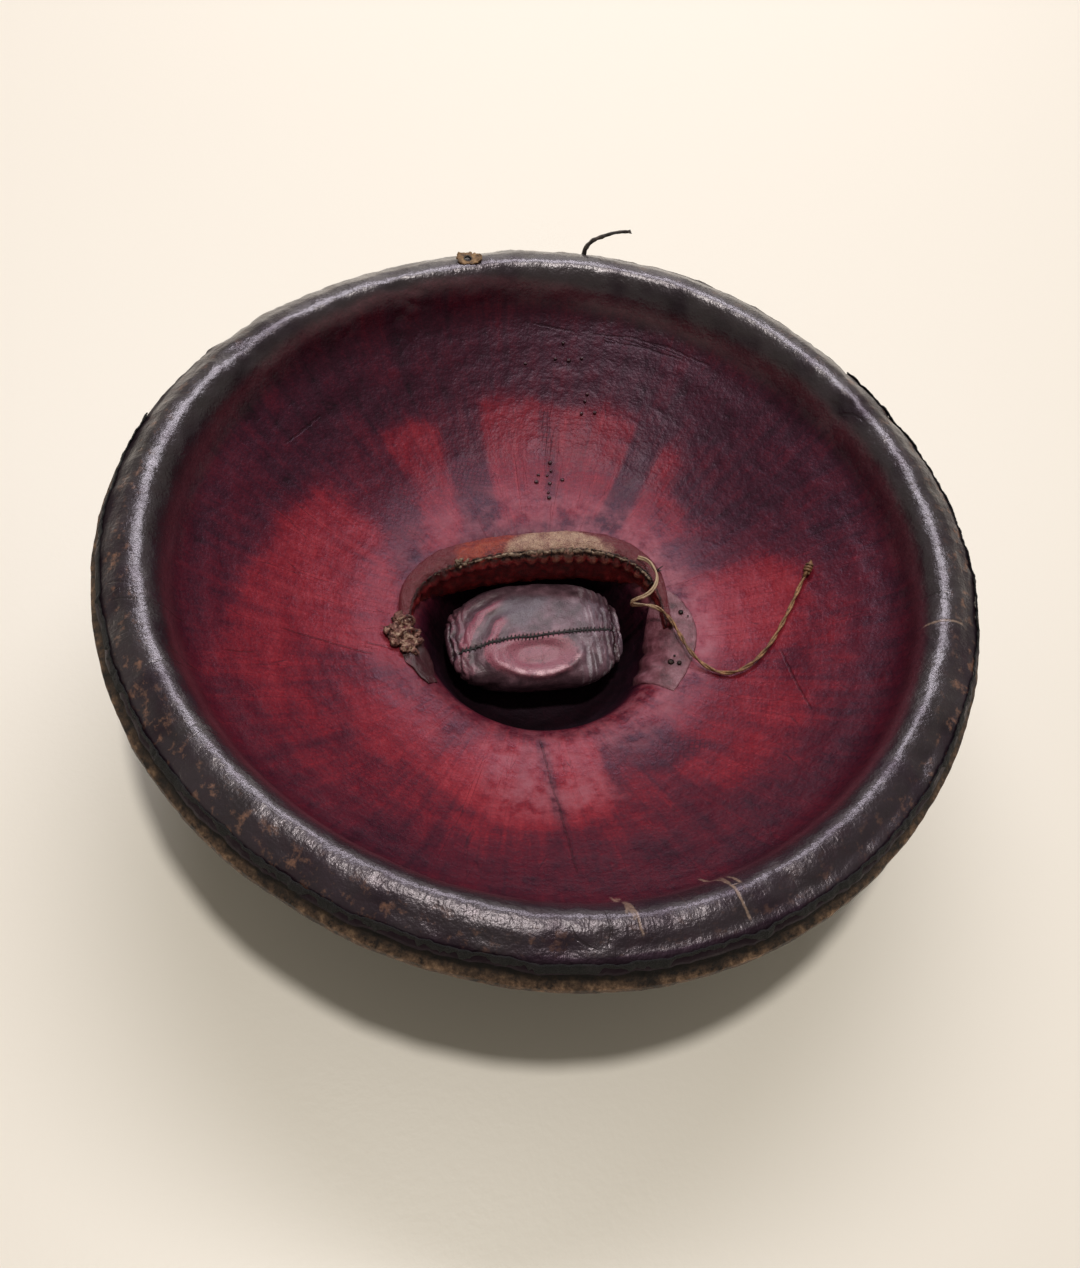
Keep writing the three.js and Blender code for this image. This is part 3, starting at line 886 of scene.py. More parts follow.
# painted fields, each an outline in mm, the width of its soft edge, and how red it is
FIELDS = [
    ([(-250, -250), (250, -250), (250, 250), (-250, 250)], 1, 0.4),
    ([(-215, -95), (-150, -140), (-60, -170), (30, -165), (110, -140), (170, -90), (200, -20),
      (150, 10), (100, 0), (84, -30), (20, -80), (-60, -60), (-86, 0), (-95, 60), (-150, 100),
      (-200, 60)], 36, 0.6),
    ([(-160, -10), (-90, -25), (-84, 30), (-92, 80), (-135, 100), (-175, 60)], 22, 0.8),
    ([(-200, 10), (-200, -60), (-165, -70), (-150, 0), (-160, 60), (-185, 55)], 20, 0.74),
    ([(-92, 140), (-70, 150), (-48, 146), (-38, 80), (-46, 62), (-68, 60), (-66, 100)], 10, 0.7),
    ([(-24, 164), (-6, 172), (14, 168), (32, 156), (28, 80), (-16, 78)], 10, 0.72),
    ([(32, 154), (60, 158), (92, 145), (76, 112), (52, 78), (28, 80)], 10, 0.72),
    ([(92, 126), (108, 116), (130, 84), (118, 58), (72, 40), (60, 64)], 12, 0.7),
    ([(120, 60), (170, 30), (175, 60), (150, 110), (128, 100)], 18, 0.3),
    ([(-75, -90), (-50, -84), (20, -88), (22, -146), (-15, -158), (-45, -150), (-78, -118)],
     12, 0.86),
    ([(-125, -50), (-97, -40), (-70, -70), (-80, -110), (-120, -90)], 14, 0.78),
    ([(55, -75), (110, -55), (145, -50), (140, -110), (80, -140), (50, -110)], 16, 0.68),
    ([(90, -40), (150, -45), (172, 0), (146, 24), (100, 20)], 26, 0.88),
]
DARK_FIELDS = [
    ([(-48, 148), (-22, 166), (-16, 80), (-37, 76)], 7, 0.4),
    ([(-100, 142), (-74, 112), (-66, 64), (-92, 74)], 10, 0.45),
    ([(110, 132), (92, 145), (52, 76), (66, 68), (90, 104)], 5, 0.34),
    ([(21, 156), (29, 156), (28, 92), (20, 92)], 6, 0.5),
    ([(24, -86), (60, -84), (92, -108), (60, -118), (26, -112)], 12, 0.42),
    ([(-15, -84), (-9, -84), (-8, -190), (-15, -190)], 6, 0.5),
    ([(110, 60), (134, 66), (122, 108), (104, 96)], 14, 0.3),
]
# dark cracks and pale cuts, as lines of places in mm
CRACKS = [
    [(-246, -26), (-232, -30), (-212, -27)], [(-249, -14), (-238, -18)], [(-228, -72), (-210, -66)],
    [(-159, -10), (-134, -13), (-107, -18)], [(-190, -38), (-176, -34)],
    [(203, 92), (210, 84), (214, 78)], [(-12, -85), (-11, -140), (-13, -190)],
    [(143, -50), (144, -100)], [(-30, -236), (-27, -242), (-20, -247)],
    [(-11, -231), (-10, -240), (-12, -246)], [(226, -60), (214, -56)],
    [(-110, -10), (-101, -12), (-95, -14)], [(60, 196), (86, 190), (112, 178), (136, 160)],
    [(48, 199), (20, 206)], [(-206, -60), (-216, -58)], [(70, 190), (96, 182), (120, 168)],
    [(-150, 118), (-128, 140)], [(56, -45), (76, -57)],
]
CUTS = [
    [(-1, -214), (1, -220), (3, -229), (5, -243)], [(47, -209), (50, -214), (55, -226), (60, -240)],
    [(2, -215), (-1, -232)], [(56, -216), (59, -222)], [(208, -77), (228, -80)],
]
# dents in the rim: where, how wide and how deep, in mm
DENTS = [
    (204, 92, 11, 1.6), (-13, -240, 6, 1.1), (-30, -244, 7, 1.0), (-242, -32, 8, 1.0),
    (-70, 212, 18, 2.6), (-107, 196, 12, 1.4), (176, -166, 12, 1.5), (236, 20, 14, 1.2),
    (-176, 152, 16, 1.6), (84, -222, 13, 1.2),
]
# where the lacing of the front's bosses is knotted, in crosses
LACING = [
    (41, 193), (35, 185), (44, 183), (53, 183), (14, 184), (55, 162), (53, 158), (50, 151),
    (59, 150), (25, 122), (25, 116), (16, 114), (22, 113), (32, 109), (23, 107), (21, 100),
    (21, 96), (14, 109),
]
# rubbed places of the dish, with a painted pink sheen, by the well and between the near rays
RUBBED_RIGHT = [(70, 34), (96, 30), (112, 8), (112, -28), (96, -56), (66, -62), (66, -20)]
RUBBED_NEAR = [(-50, -84), (20, -88), (24, -134), (-12, -146), (-48, -138)]


def torn(co, share):
    """Moves a place on the lining's edge with its lift off the hide and its tears."""
    ring = level_way(co)
    angle = math.degrees(math.atan2(co.y, co.x))
    lifted = math.cos(min(1, abs(angle - LIFT_MID) / LIFT_HALF) * math.pi / 2)
    ragged = 1.3 + 1.1 * rough(ring * 235, 26, 3) + 0.9 * rough(ring * 235, 5, 9)
    co.z += share * (LIFT * lifted + 1.2 + 1.2 * rough(ring * 235, 14, 12))
    co.x += ring.x * share * ragged
    co.y += ring.y * share * ragged


class SHIELD_OT_lining(bpy.types.Operator):
    """The red lining over the back, down the well and over the rim to its torn edge"""
    bl_idname = "shield.lining"
    bl_label = "Back lining"

    def execute(self, context):
        sizes = settings()
        top = [(p.x, p.y) for p in smooth_line(LINING_TOP, 1.8)]
        under = [(max(r, 0), z) for r, z in offset_section(LINING_TOP, LINING_THICK)]
        bm = bmesh.new()
        spun(bm, top + under[::-1], sizes.steps)
        bm.normal_update()
        for vert in bm.verts:
            co = vert.co
            radius = co.xy.length
            if radius < 1:
                continue
            upper = vert.normal.z > 0.05 or radius > 250
            share = smooth(radius, 245, 255)
            if upper and radius > 60:
                co += vert.normal * self.relief(co, radius, sizes.wrinkle)
            if share:
                torn(co, share)
            out_of_round(co)
        bmesh.ops.recalc_face_normals(bm, faces=bm.faces)
        look = lining_leather(LINING_COLOURS)
        self.paint(finished(bm, "lining_skin", look, ["back_lining"]))
        self.margin()
        self.knots()
        return {"FINISHED"}

    def relief(self, co, radius, wrinkle):
        """Soft unevenness on the dish, wrinkles and dents on the rim, and the bead inside it."""
        bead = smooth(radius, 205, 222)
        across = noise.noise(level_way(co) * 58 + Vector((0, 0, radius * 0.02)))
        push = 0.8 * rough(co, 70, 1) * (1 - bead)
        push += bead * wrinkle * (0.7 * across + 1.6 * rough(co, 34, 6) + 0.5 * rough(co, 8, 2))
        push += 0.35 * math.exp(-((radius - 220.5) / 1.5) ** 2)
        for x, y, size, deep in DENTS:
            if abs(co.x - x) < size and abs(co.y - y) < size:
                away = math.hypot(co.x - x, co.y - y) / size + 0.35 * rough(co, 7, 4)
                push -= deep * (1 - smooth(away, 0, 1))
        return push

    def margin(self):
        """The torn margin of the skin, in rags and tongues along the near side."""
        bm = bmesh.new()
        bmesh.ops.create_grid(bm, x_segments=1100, y_segments=5, size=1)
        for vert in bm.verts:
            turn = math.radians(-88 + 118 * vert.co.x)
            v = (vert.co.y + 1) / 2
            ring = Vector((math.cos(turn), math.sin(turn), 0))
            at = ring * 250
            tears = 0.4 + 1.1 * rough(at, 17, 41) + 0.3 * rough(at, 3.4, 43)
            wide = 0.8 + 3.0 * smooth(tears, 0.15, 0.8)
            radius = 252.2 + 0.72 * wide * v
            curl = 1.2 * rough(at, 11, 47) + 0.3 * rough(at, 3, 49)
            height = 150.2 - 0.86 * wide * v - 1.6 * v * v + curl * v
            vert.co = ring * radius + Vector((0, 0, height))
            torn(vert.co, 1)
            out_of_round(vert.co)
        bmesh.ops.recalc_face_normals(bm, faces=bm.faces)
        thickened(bm, 0.8)
        # The lining's goatskin where it has torn: black with old wax, dry and fibrous.
        look = leather(
            "Torn goatskin margin", ("#020202", "#050405", "#181316"), 6.0, 1.0, 0.85, 0.12,
            seed=19, deep=1.0,
        )
        finished(bm, "torn_margin", look)

    def knots(self):
        """Small knots of the lacing that holds the front's bosses, in crosses on the far side."""
        bm = bmesh.new()
        dice = random.Random(11)
        for x, y in LACING:
            size = dice.uniform(0.9, 1.4)
            made = bmesh.ops.create_icosphere(bm, subdivisions=2, radius=size)["verts"]
            place = on_bed(x, y, 0.5)
            for vert in made:
                vert.co = place + Vector((vert.co.x * 1.15, vert.co.y, vert.co.z * 0.75))
        # Knots of lining leather, rubbed shiny on top.
        look = leather(
            "Polished leather knots", ("#1d0d13", "#3a1d27", "#6b434c"), 1.5, 0.7, 0.35, 0.08,
        )
        finished(bm, "lacing_knots", look)

    def paint(self, lining):
        """The painted tones, and where the skin is hatched, rubbed, waxed, scuffed and cracked,
        with painted shade low in the well, a painted pink sheen round it and a painted highlight
        along the rim's inner seam.
        """
        at = places(lining)
        x, y, z = at[:, 0], at[:, 1], at[:, 2]
        radius = np.hypot(x, y)
        angle = np.degrees(np.arctan2(y, x))

        def facing(degrees):
            return np.cos(np.radians(angle - degrees))

        tone = np.zeros(x.shape)
        for outline, edge, value in FIELDS:
            share = patch(x, y, outline, edge)
            tone = tone * (1 - share) + value * share
        far = soft(y, -60, 120)
        outer = soft(radius, 158 + 20 * (1 - far), 176 + 26 * (1 - far)) * (0.35 + 0.65 * far)
        tone = tone * (1 - outer) + 0.27 * outer
        hatch = np.zeros(x.shape)
        for outline, edge, value in DARK_FIELDS:
            share = patch(x, y, outline, edge)
            tone = tone * (1 - share) + value * share
            hatch = np.maximum(hatch, share)
        mid_dish = soft(radius, 96, 120) * (1 - soft(radius, 175, 200))
        rim_wax = soft(radius, 212, 222) * (1 - 0.4 * soft(-y, 110, 200))
        right = 0.5 + 0.5 * facing(15)
        # rubbed places, with a painted pink sheen where the lip and the near dish catch light
        bare = (0.25 + 0.75 * right) * (1 - soft(np.abs(radius - 86), 6, 34)) * soft(z, 55, 66)
        bare = np.maximum(bare, patch(x, y, RUBBED_RIGHT, 14))
        bare = np.maximum(bare, 0.8 * patch(x, y, RUBBED_NEAR, 22))
        rim_outside = soft(radius, 232, 244)
        scuffs = 0.2 + 0.9 * np.maximum(0, facing(-158)) ** 2 + 0.9 * np.maximum(0, facing(-4)) ** 3
        cut_gap, cut_on = beside(x, y, CUTS)
        crack_gap, crack_on = beside(x, y, CRACKS)
        painted(
            lining,
            # the tone is darkened low in the well as painted shade
            tone=tone * (1 - 0.8 * (1 - soft(z, 46, 64))),
            hatch=np.maximum(hatch, 0.32 * mid_dish),
            rim=soft(radius, 214, 224) * 0.9 + 0.1 * soft(radius, 196, 214),
            waxed=rim_wax * np.clip(0.9 + 0.8 * mottling(at, 26, 4), 0.25, 1),
            # a rose line along the rim's inner seam, partly a painted highlight
            ridge=0.9 * bell(radius - 220, 2.2),
            bare=bare * soft(z, 52, 63),
            scuff=rim_outside * np.clip(scuffs, 0, 1) * (1 - soft(radius, 250, 254)),
            # soot on the torn edge, and painted shade low in the well
            soot=np.maximum(0.9 * soft(radius, 250.5, 254), 0.75 * (1 - soft(z, 24, 56))),
            cut_gap=np.clip(cut_gap, -20, 20),
            cut_on=cut_on,
            crack_gap=np.clip(crack_gap, -20, 20),
            crack_on=crack_on,
        )


# the pad's seam across its top and the oval hollow in front of it, level places in mm
PAD_SEAM = [
    (-58, -9.7), (-43.4, -8.6), (-36.4, -8), (-19.2, -5.4), (-0.7, -4.9), (18, -3.5),
    (38.5, -1.9), (56, 0.2),
]
PAD_HOLLOW, PAD_HOLLOW_SIZE = (-2, -17), (25, 12.5)
PAD_GREY = [(-8, 2), (4, 14), (14, 26), (-14, 30), (-26, 18), (-16, 4)]
PAD_STEPS = 20      # of the simulation
PAD_SWELL = 2.5     # the most that it may move a place, in mm


def from_hollow(x, y):
    """The distance from the middle of the pad's hollow, 1 at its edge."""
    return np.hypot(
        (x - PAD_HOLLOW[0]) / PAD_HOLLOW_SIZE[0], (y - PAD_HOLLOW[1]) / PAD_HOLLOW_SIZE[1],
    )


class SHIELD_OT_pad(bpy.types.Operator):
    """The stuffed leather pad in the well, sewn across its top"""
    bl_idname = "shield.pad"
    bl_label = "Pad"

    def execute(self, context):
        low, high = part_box("well_pad")
        half = (high - low) / 2 / MM - Vector((0.6, 1.6, 0.4))
        middle = (high + low) / 2 / MM + Vector((-0.5, 3.6, 2.2))
        bm = bmesh.new()
        bmesh.ops.create_cube(bm, size=2)
        bmesh.ops.subdivide_edges(bm, edges=bm.edges, cuts=62, use_grid_fill=True)
        for vert in bm.verts:
            co = vert.co
            plan = (abs(co.x) ** 2.9 + abs(co.y) ** 2.9) ** (1 / 2.9)
            co /= (plan ** 3.6 + abs(co.z) ** 3.6) ** (1 / 3.6)
            waist = 1 - 0.2 * smooth(-co.z, -0.5, 1)
            drawn = 1 - 0.16 * smooth(-co.x, 0.35, 1) * (co.y > 0)
            co.y = middle.y + half.y * co.y * waist * drawn
            co.x = middle.x + half.x * co.x * waist
            co.z = middle.z + half.z * co.z
            sunk = smooth(abs(co.x - middle.x) / half.x, 0.45, 1)
            co.z -= 2.2 * sunk * smooth(co.z, 40, 56)
        bmesh.ops.recalc_face_normals(bm, faces=bm.faces)
        # Soft tawed leather, stuffed hard with hair: greyish mauve, pinker where it is rubbed.
        look = leather(
            "Soft tawed leather, stuffed", shades(tints().pad, 0.45, 0.88, 1.6),
            9.0, 1.1, 0.31, 0.08, seed=5,
            over=[
                ("pink", "#8c4f5e"), ("grey", "#564b55"), ("streak", "#9b9199"),
                ("glow", "#d3a8b0"), ("dirt", "#2a141c"), ("seam", "#120a0e"),
            ],
        )
        pad = finished(bm, "stuffed_pad", look, ["well_pad"])
        self.place(pad, self.stuffed(context, pad))
        self.refine(pad)
        self.sculpt(pad)
        self.sewing(pad)
        return {"FINISHED"}

    def place(self, pad, at):
        """Moves the pad's vertices to places in mm."""
        pad.data.vertices.foreach_set("co", (at * MM).astype(np.float32).ravel())
        pad.data.update()

    def stuffed(self, context, pad):
        """Swells the pad as cloth under pressure, held at its seam, its hollow and its foot."""
        at = places(pad)
        gap, _ = beside(at[:, 0], at[:, 1], [PAD_SEAM])
        middle = (np.abs(gap) < 1.2) | (from_hollow(at[:, 0], at[:, 1]) < 0.45)
        held = ((at[:, 2] > 48) & middle) | (at[:, 2] < 22)
        group = pad.vertex_groups.new(name="held")
        group.add([int(i) for i in np.flatnonzero(held)], 1.0, "REPLACE")
        cloth = pad.modifiers.new("stuffing", "CLOTH")
        cloth.settings.quality = 5
        cloth.settings.use_pressure = True
        cloth.settings.uniform_pressure_force = 3
        cloth.settings.vertex_group_mass = "held"
        cloth.settings.effector_weights.gravity = 0
        cloth.collision_settings.use_collision = False
        cloth.point_cache.frame_end = PAD_STEPS
        for step in range(1, PAD_STEPS + 1):
            context.scene.frame_set(step)
        blown = places(pad.evaluated_get(context.evaluated_depsgraph_get()))
        pad.modifiers.remove(cloth)
        pad.vertex_groups.clear()
        context.scene.frame_set(1)
        moved = blown - at
        length = np.linalg.norm(moved, axis=1, keepdims=True)
        return at + moved * np.minimum(1, PAD_SWELL / np.maximum(length, 1e-6))

    def refine(self, pad):
        """Splits each face in four and eases the corners, so that seam and folds have room."""
        bm = bmesh.new()
        bm.from_mesh(pad.data)
        bmesh.ops.subdivide_edges(bm, edges=bm.edges, cuts=1, use_grid_fill=True)
        for _ in range(2):
            bmesh.ops.smooth_vert(
                bm, verts=bm.verts, factor=0.5, use_axis_x=True, use_axis_y=True, use_axis_z=True,
            )
        bm.to_mesh(pad.data)
        bm.free()

    def sculpt(self, pad):
        """Seam, hollow and the folds that run round it and down the ends."""
        at = places(pad)
        self.place(pad, at)
        out = np.empty(len(at) * 3, np.float32)
        pad.data.vertex_normals.foreach_get("vector", out)
        out = out.reshape(-1, 3)
        x, y, z = at[:, 0], at[:, 1], at[:, 2]
        top = soft(out[:, 2], 0.1, 0.6)
        gap, on = beside(x, y, [PAD_SEAM])
        away = from_hollow(x, y)
        near = soft(-y, 8, 24)
        left = soft(-x, 8, 26)
        lobes, small = mottling(at, 24, 2), mottling(at, (7, 9, 12), 3)
        # the folds: rings round the hollow on the left, gathers at the ends, one deep one
        rings = np.sin(np.hypot(x + 2, (y + 12) * 1.25) / 2.3 + 2.2 * lobes)
        gathers = np.sin((x + 2.5 * small) * 1.5)
        ends = soft(np.abs(x + 1), 40, 50)
        fold = x - (52.5 - 0.07 * (20 - y))
        push = -3.4 * (1 - soft(away, 0.45, 1.0)) * top
        push += 1.9 * bell(away - 1.12, 0.13) * (0.2 + 0.8 * near) * top
        push += top * on * (-1.7 * bell(gap, 1.1) + 0.6 * bell(np.abs(gap) - 4, 2.6))
        push += 0.75 * rings * left * (1 - soft(-x, 46, 52)) * soft(away, 1.1, 1.5)
        push += 0.6 * ends * gathers
        push += -1.3 * bell(fold, 1.3) * soft(z, 30, 44)
        push += 0.35 * small + 0.5 * lobes
        pulled = at + out * push[:, None]
        pulled[:, 1] += soft(-y, 20, 34) * (1.6 * bell(x + 36, 16) - 2.0 * bell(x - 34, 15))
        self.place(pad, pulled)

        streaks = mottling(at, (3.2, 26, 26), 4)
        fold_tops = soft(rings, -0.2, 0.6) * (1 - soft(np.hypot(x + 24, y), 18, 34))
        pink = 0.8 * (1 - soft(away, 0.9, 1.5)) + 0.8 * left * fold_tops
        grey = 0.66 * patch(x, y, PAD_GREY, 9)
        # painted shade in the folds' valleys on the left, in the deep fold, at the ends and low on
        # the foot; dirt at the ends too
        shut = (1 - soft(rings, -0.9, -0.4)) * left * soft(away, 1.05, 1.3)
        shut = 0.45 * (shut * (1 - soft(-x, 44, 52)))
        end_dirt = 0.75 * (1 - soft(x, -60, -51)) + 0.5 * ends * soft(-gathers, 0.2, 0.8)
        foot_dirt = 0.85 * (1 - soft(z, 22, 44))
        painted(
            pad,
            pink=pink + 0.4 * soft(-x, 34, 52) - 0.5 * soft(x, 14, 30),
            grey=grey + 0.55 * soft(x, 22, 36) * soft(-streaks, 0.0, 0.4),
            streak=0.85 * soft(x, 20, 34) * soft(streaks, -0.1, 0.35) * (0.45 + 0.55 * near),
            # a painted highlight along the near lip of the hollow
            glow=(0.5 + 0.6 * small) * bell(away - 1.02, 0.1) * soft(-y, 17, 24),
            dirt=np.maximum.reduce([shut, 0.9 * bell(fold, 1.5), end_dirt, foot_dirt]),
            seam=0.95 * bell(gap, 1.2) * on * top,
        )

    def sewing(self, pad):
        """A black thread along the seam, with a small stitch across it at each step."""
        bm = bmesh.new()
        bm.from_mesh(pad.data)
        tree = BVHTree.FromBMesh(bm)
        bm.free()

        def drop(x, y, up):
            spot, out, _, _ = tree.ray_cast(Vector((x, y, 90)) * MM, Vector((0, 0, -1)))
            return None if spot is None else spot / MM + Vector((0, 0, up))

        made = bmesh.new()
        line = [p for p in smooth_line([(x, y, 0) for x, y in PAD_SEAM], 1.2) if -52 < p.x < 50]
        thread = [drop(p.x, p.y, 0.35) for p in line]
        swept(made, round_rings([p for p in thread if p], 0.75, 7, wobble=0.9))
        step = settings().pad_stitch / MM
        run = 0.0
        for before, point in zip(line, line[1:]):
            run += (point - before).length
            if run < step:
                continue
            run = 0.0
            lean = (point - before).normalized()
            across = Vector((-lean.y, lean.x, 0)) + lean * 0.35
            path = [
                drop(point.x + across.x * s, point.y + across.y * s, up)
                for s, up in ((-2.1, -0.4), (-1.1, 0.5), (0, 0.5), (1.1, 0.5), (2.1, -0.4))
            ]
            if all(path):
                swept(made, round_rings(path, 0.5, 5))
        # Waxed sinew thread, black with age.
        look = leather("Waxed black thread", ("#070505", "#120d0e", "#2a2022"), 2.0, 0.4)
        finished(made, "pad_seam_thread", look)


GRIP_WORN = [
    (-20, 42), (-17, 50), (-8, 57), (2, 64), (22, 64), (40, 56), (55, 45), (53, 36), (36, 38),
    (-14, 40),
]
GRIP_ORANGE = [
    (-52, 36), (-50, 50), (-38, 60), (-20, 66), (-6, 62), (-12, 46), (-22, 38), (-44, 36),
]


def away_from_pad(line, i):
    """The level direction square to the grip's edge at one of its points."""
    way = heading(line, i)
    way = Vector((way.x, way.y, 0)).normalized()
    return Vector((-way.y, way.x, 0))


class SHIELD_OT_grip(bpy.types.Operator):
    """The arched grip: band, puckers, frayed edge, stitches and tuft"""
    bl_idname = "shield.grip"
    bl_label = "Grip"

    def execute(self, context):
        # Red-dyed leather over a stout core: dark and greasy inside, worn to the tan on top, with
        # painted shade in the groove under its edge and low on its front.
        look = leather(
            "Red grip leather, worn", shades(tints().grip, 0.3, 1, 2.0), 6.0, 1.0, 0.42,
            seed=8, deep=0.8,
            over=[
                ("skin", "#64222b"), ("orange", "#a03e27"), ("pleat", "#6e4332"),
                ("worn", "#b3947e"), ("grime", "#17090a"),
            ],
        )
        line = smooth_line(GRIP_EDGE, 1.1)
        run = [0.0]
        for a, b in zip(line, line[1:]):
            run.append(run[-1] + (b - a).length)
        section = smooth_section(GRIP_SECTION)
        bm = bmesh.new()
        swept(bm, [self.ring(section, line, i, run[i], run[-1]) for i in range(len(line))])
        grip = finished(bm, "grip_band", look, ["arched_grip"])
        self.paint(grip, line, np.array(run))

        def edge_at(distance, back=0.0, up=0.0):
            i = min(range(len(run)), key=lambda k: abs(run[k] - distance))
            return line[i] + away_from_pad(line, i) * back + Vector((0, 0, up))

        self.fray(edge_at, run[-1])
        self.stitches(edge_at, run[-1])
        return {"FINISHED"}

    def ring(self, section, line, i, reached, whole):
        """The band's section at a point of its edge, with the puckers that its stitches draw."""
        point, share = line[i], reached / whole
        back = away_from_pad(line, i)
        full = smooth(math.sin(share * math.pi), 0.1, 0.85)
        right = smooth(share, 0.42, 0.58)
        tall = GRIP_TALL * (GRIP_FOOT * (1 - full) + full)
        thick = GRIP_THICK * (GRIP_THIN * (1 - full) + full)
        pleat = abs(math.sin(math.pi * reached / PLEAT_STEP)) ** 0.6
        ring = []
        for across, down in section:
            spot = point + back * (across * thick)
            rest = lining_height(spot.x, spot.y) + 0.5 + 1.6 * (1 - down)
            spot.z = max(point.z - down * tall, rest)
            face = (1 - smooth(across, 0.05, 0.35)) * full
            deep = down * tall
            band = math.exp(-((deep - PLEAT_DOWN) / 3.2) ** 2)
            lump = (2.4 + (pleat - 0.55) * (2.6 + 1.6 * right)) * band * face
            lump -= 1.0 * math.exp(-((deep - 1.2) / 1.2) ** 2) * face
            lump += 0.9 * rough(spot, 15, 3) * full + 0.9 * rough(spot, 5, 7)
            rise = (0.9 * rough(spot, 8, 5) + 0.6 * rough(spot, 3, 15)) * (down < 0.3)
            ring.append(spot - back * lump * (1.2 - across) + Vector((0, 0, rise)))
        return ring

    def paint(self, grip, line, run):
        """Where the band is worn through, pleated and skinned over, darker along its top's edge,
        and painted with shade in the groove under that edge and low on its front.
        """
        at = places(grip)
        spine = np.array([tuple(p) for p in line])
        nearest = np.argmin(((at[:, None, :2] - spine[None, :, :2]) ** 2).sum(2), axis=1)
        ways = np.gradient(spine[:, :2], axis=0)
        ways /= np.linalg.norm(ways, axis=1, keepdims=True)
        square = np.c_[-ways[nearest, 1], ways[nearest, 0]]
        back = ((at[:, :2] - spine[nearest, :2]) * square).sum(1)
        down = spine[nearest, 2] - at[:, 2]
        along = run[nearest] / run[-1]
        x, y = at[:, 0], at[:, 1]
        on_top = 1 - soft(down, 2.5, 5)
        front = 1 - soft(back, 0.8, 3)
        pleats = bell(down - PLEAT_DOWN, 4.0) * front * (0.12 + 0.88 * soft(along, 0.35, 0.6))
        pleats = pleats * (1 - soft(along, 0.86, 0.93))
        puckers = np.abs(np.sin(np.pi * run[nearest] / PLEAT_STEP))
        # painted shade in the groove under the edge
        sunk = bell(down - 2.6, 1.1) * front * soft(along, 0.1, 0.2)
        sunk = sunk * (1 - soft(along, 0.85, 0.93))
        rim_line = 0.8 * bell(back - 0.9, 0.9) * on_top
        painted(
            grip,
            worn=0.6 * patch(x, y, GRIP_WORN, 9) * on_top,
            orange=0.52 * patch(x, y, GRIP_ORANGE, 9) * on_top,
            pleat=0.62 * pleats * soft(puckers, 0.25, 0.8),
            skin=0.95 * on_top * soft(back, 0.6, 2.0),
            # darker along the top's edge, with painted shade in the groove and low on the front
            grime=np.maximum.reduce([rim_line, 0.75 * sunk, 0.12 * soft(down, 16, 30) * front]),
        )

    def fray(self, edge_at, whole):
        """The pale edge of the folded leather, split into ragged tongues, and its tuft."""
        # Leather worn through to its pale, fibrous inside.
        look = leather(
            "Frayed raw leather edge", ("#2a1c17", "#75604f", "#a8937f"), 3.0, 0.8, 0.75, 0.05,
            seed=6, deep=0.5,
        )
        dice = random.Random(21)
        bm = bmesh.new()
        spot = whole * 0.3
        while spot < whole * 0.84:
            size = dice.uniform(5, 11)
            strength = 1 if whole * 0.4 < spot < whole * 0.68 else 0.55
            path = []
            for k in range(7):
                back = dice.uniform(-0.3, 0.9)
                path.append(edge_at(spot + size * (k / 6), back, 0.15 + dice.uniform(-0.4, 0.5)))
            swept(bm, round_rings(
                path, lambda s: (0.35 + 1.2 * math.sin(math.pi * s)) * strength, 7,
                flat=0.7, wobble=0.6, seed=spot,
            ))
            spot += size * dice.uniform(0.6, 1.0)
        for _ in range(60):
            start = edge_at(whole * dice.uniform(0.22, 0.8), dice.uniform(0, 1.4), 0.6)
            reach = (dice.uniform(-2.5, 2.5), dice.uniform(-2.2, 1.2), dice.uniform(0, 1.6))
            tip = start + Vector(reach)
            wisp(bm, [start, (start + tip) / 2 + Vector((0, 0, 0.5)), tip], 0.22, 0.12, 4)
        # the tuft: a crumpled flake of the same leather, standing off the left of the edge
        middle = Vector((-45.5, 38.6, 82.6))
        for _ in range(11):
            off = (dice.uniform(-4.6, 4.6), dice.uniform(-2.6, 2.2), dice.uniform(-3.4, 1.8))
            off = Vector(off)
            made = bmesh.ops.create_icosphere(bm, subdivisions=2, radius=1)["verts"]
            angle = dice.uniform(0, TAU)
            axis = Vector((dice.random(), dice.random(), 1)).normalized()
            turn = Matrix.Rotation(angle, 3, axis)
            size = (dice.uniform(1.2, 2.6), dice.uniform(0.6, 1.2), dice.uniform(0.8, 1.6))
            for vert in made:
                bump = 1 + 0.5 * noise.noise(vert.co * 2 + off)
                vert.co = middle + off + turn @ (vert.co * Vector(size)) * bump
        finished(bm, "grip_frayed_edge", look)

    def stitches(self, edge_at, whole):
        """Dark running stitches along the top, the ones that draw in the pleats, and the nib."""
        bm = bmesh.new()
        spot = whole * 0.14
        while spot < whole * 0.88:
            back = 1.7 + 0.3 * math.sin(spot)
            rises = ((0, -0.6), (0.6, 0.75), (2.2, 0.9), (3.4, 0.75), (4.0, -0.6))
            swept(bm, round_rings([edge_at(spot + s, back, up) for s, up in rises], 0.45, 6))
            if spot > whole * 0.42:
                falls = ((1.0, 0.9), (-0.4, 0.2), (-0.9, -1.6), (-0.9, -4.0), (0.4, -5.5))
                swept(bm, round_rings([edge_at(spot, b, up) for b, up in falls], 0.4, 5))
            spot += settings().stitch / MM
        nib = Vector((80.5, 26.5, 76.5))
        wisp(bm, [nib, nib + Vector((2.6, 1.2, 1.6)), nib + Vector((5.6, 3.4, 1.2))], 0.8, 0.6, 6)
        wisp(bm, [nib + Vector((1.2, 0, 0.4)), nib + Vector((3.8, -1.0, 2.2))], 0.6, 0.45, 5)
        # Sinew, drawn tight and blackened with grease.
        look = leather("Sinew stitches", ("#0c0808", "#1d1413", "#4a3a30"), 2.0, 0.4, 0.55)
        finished(bm, "grip_stitches", look)


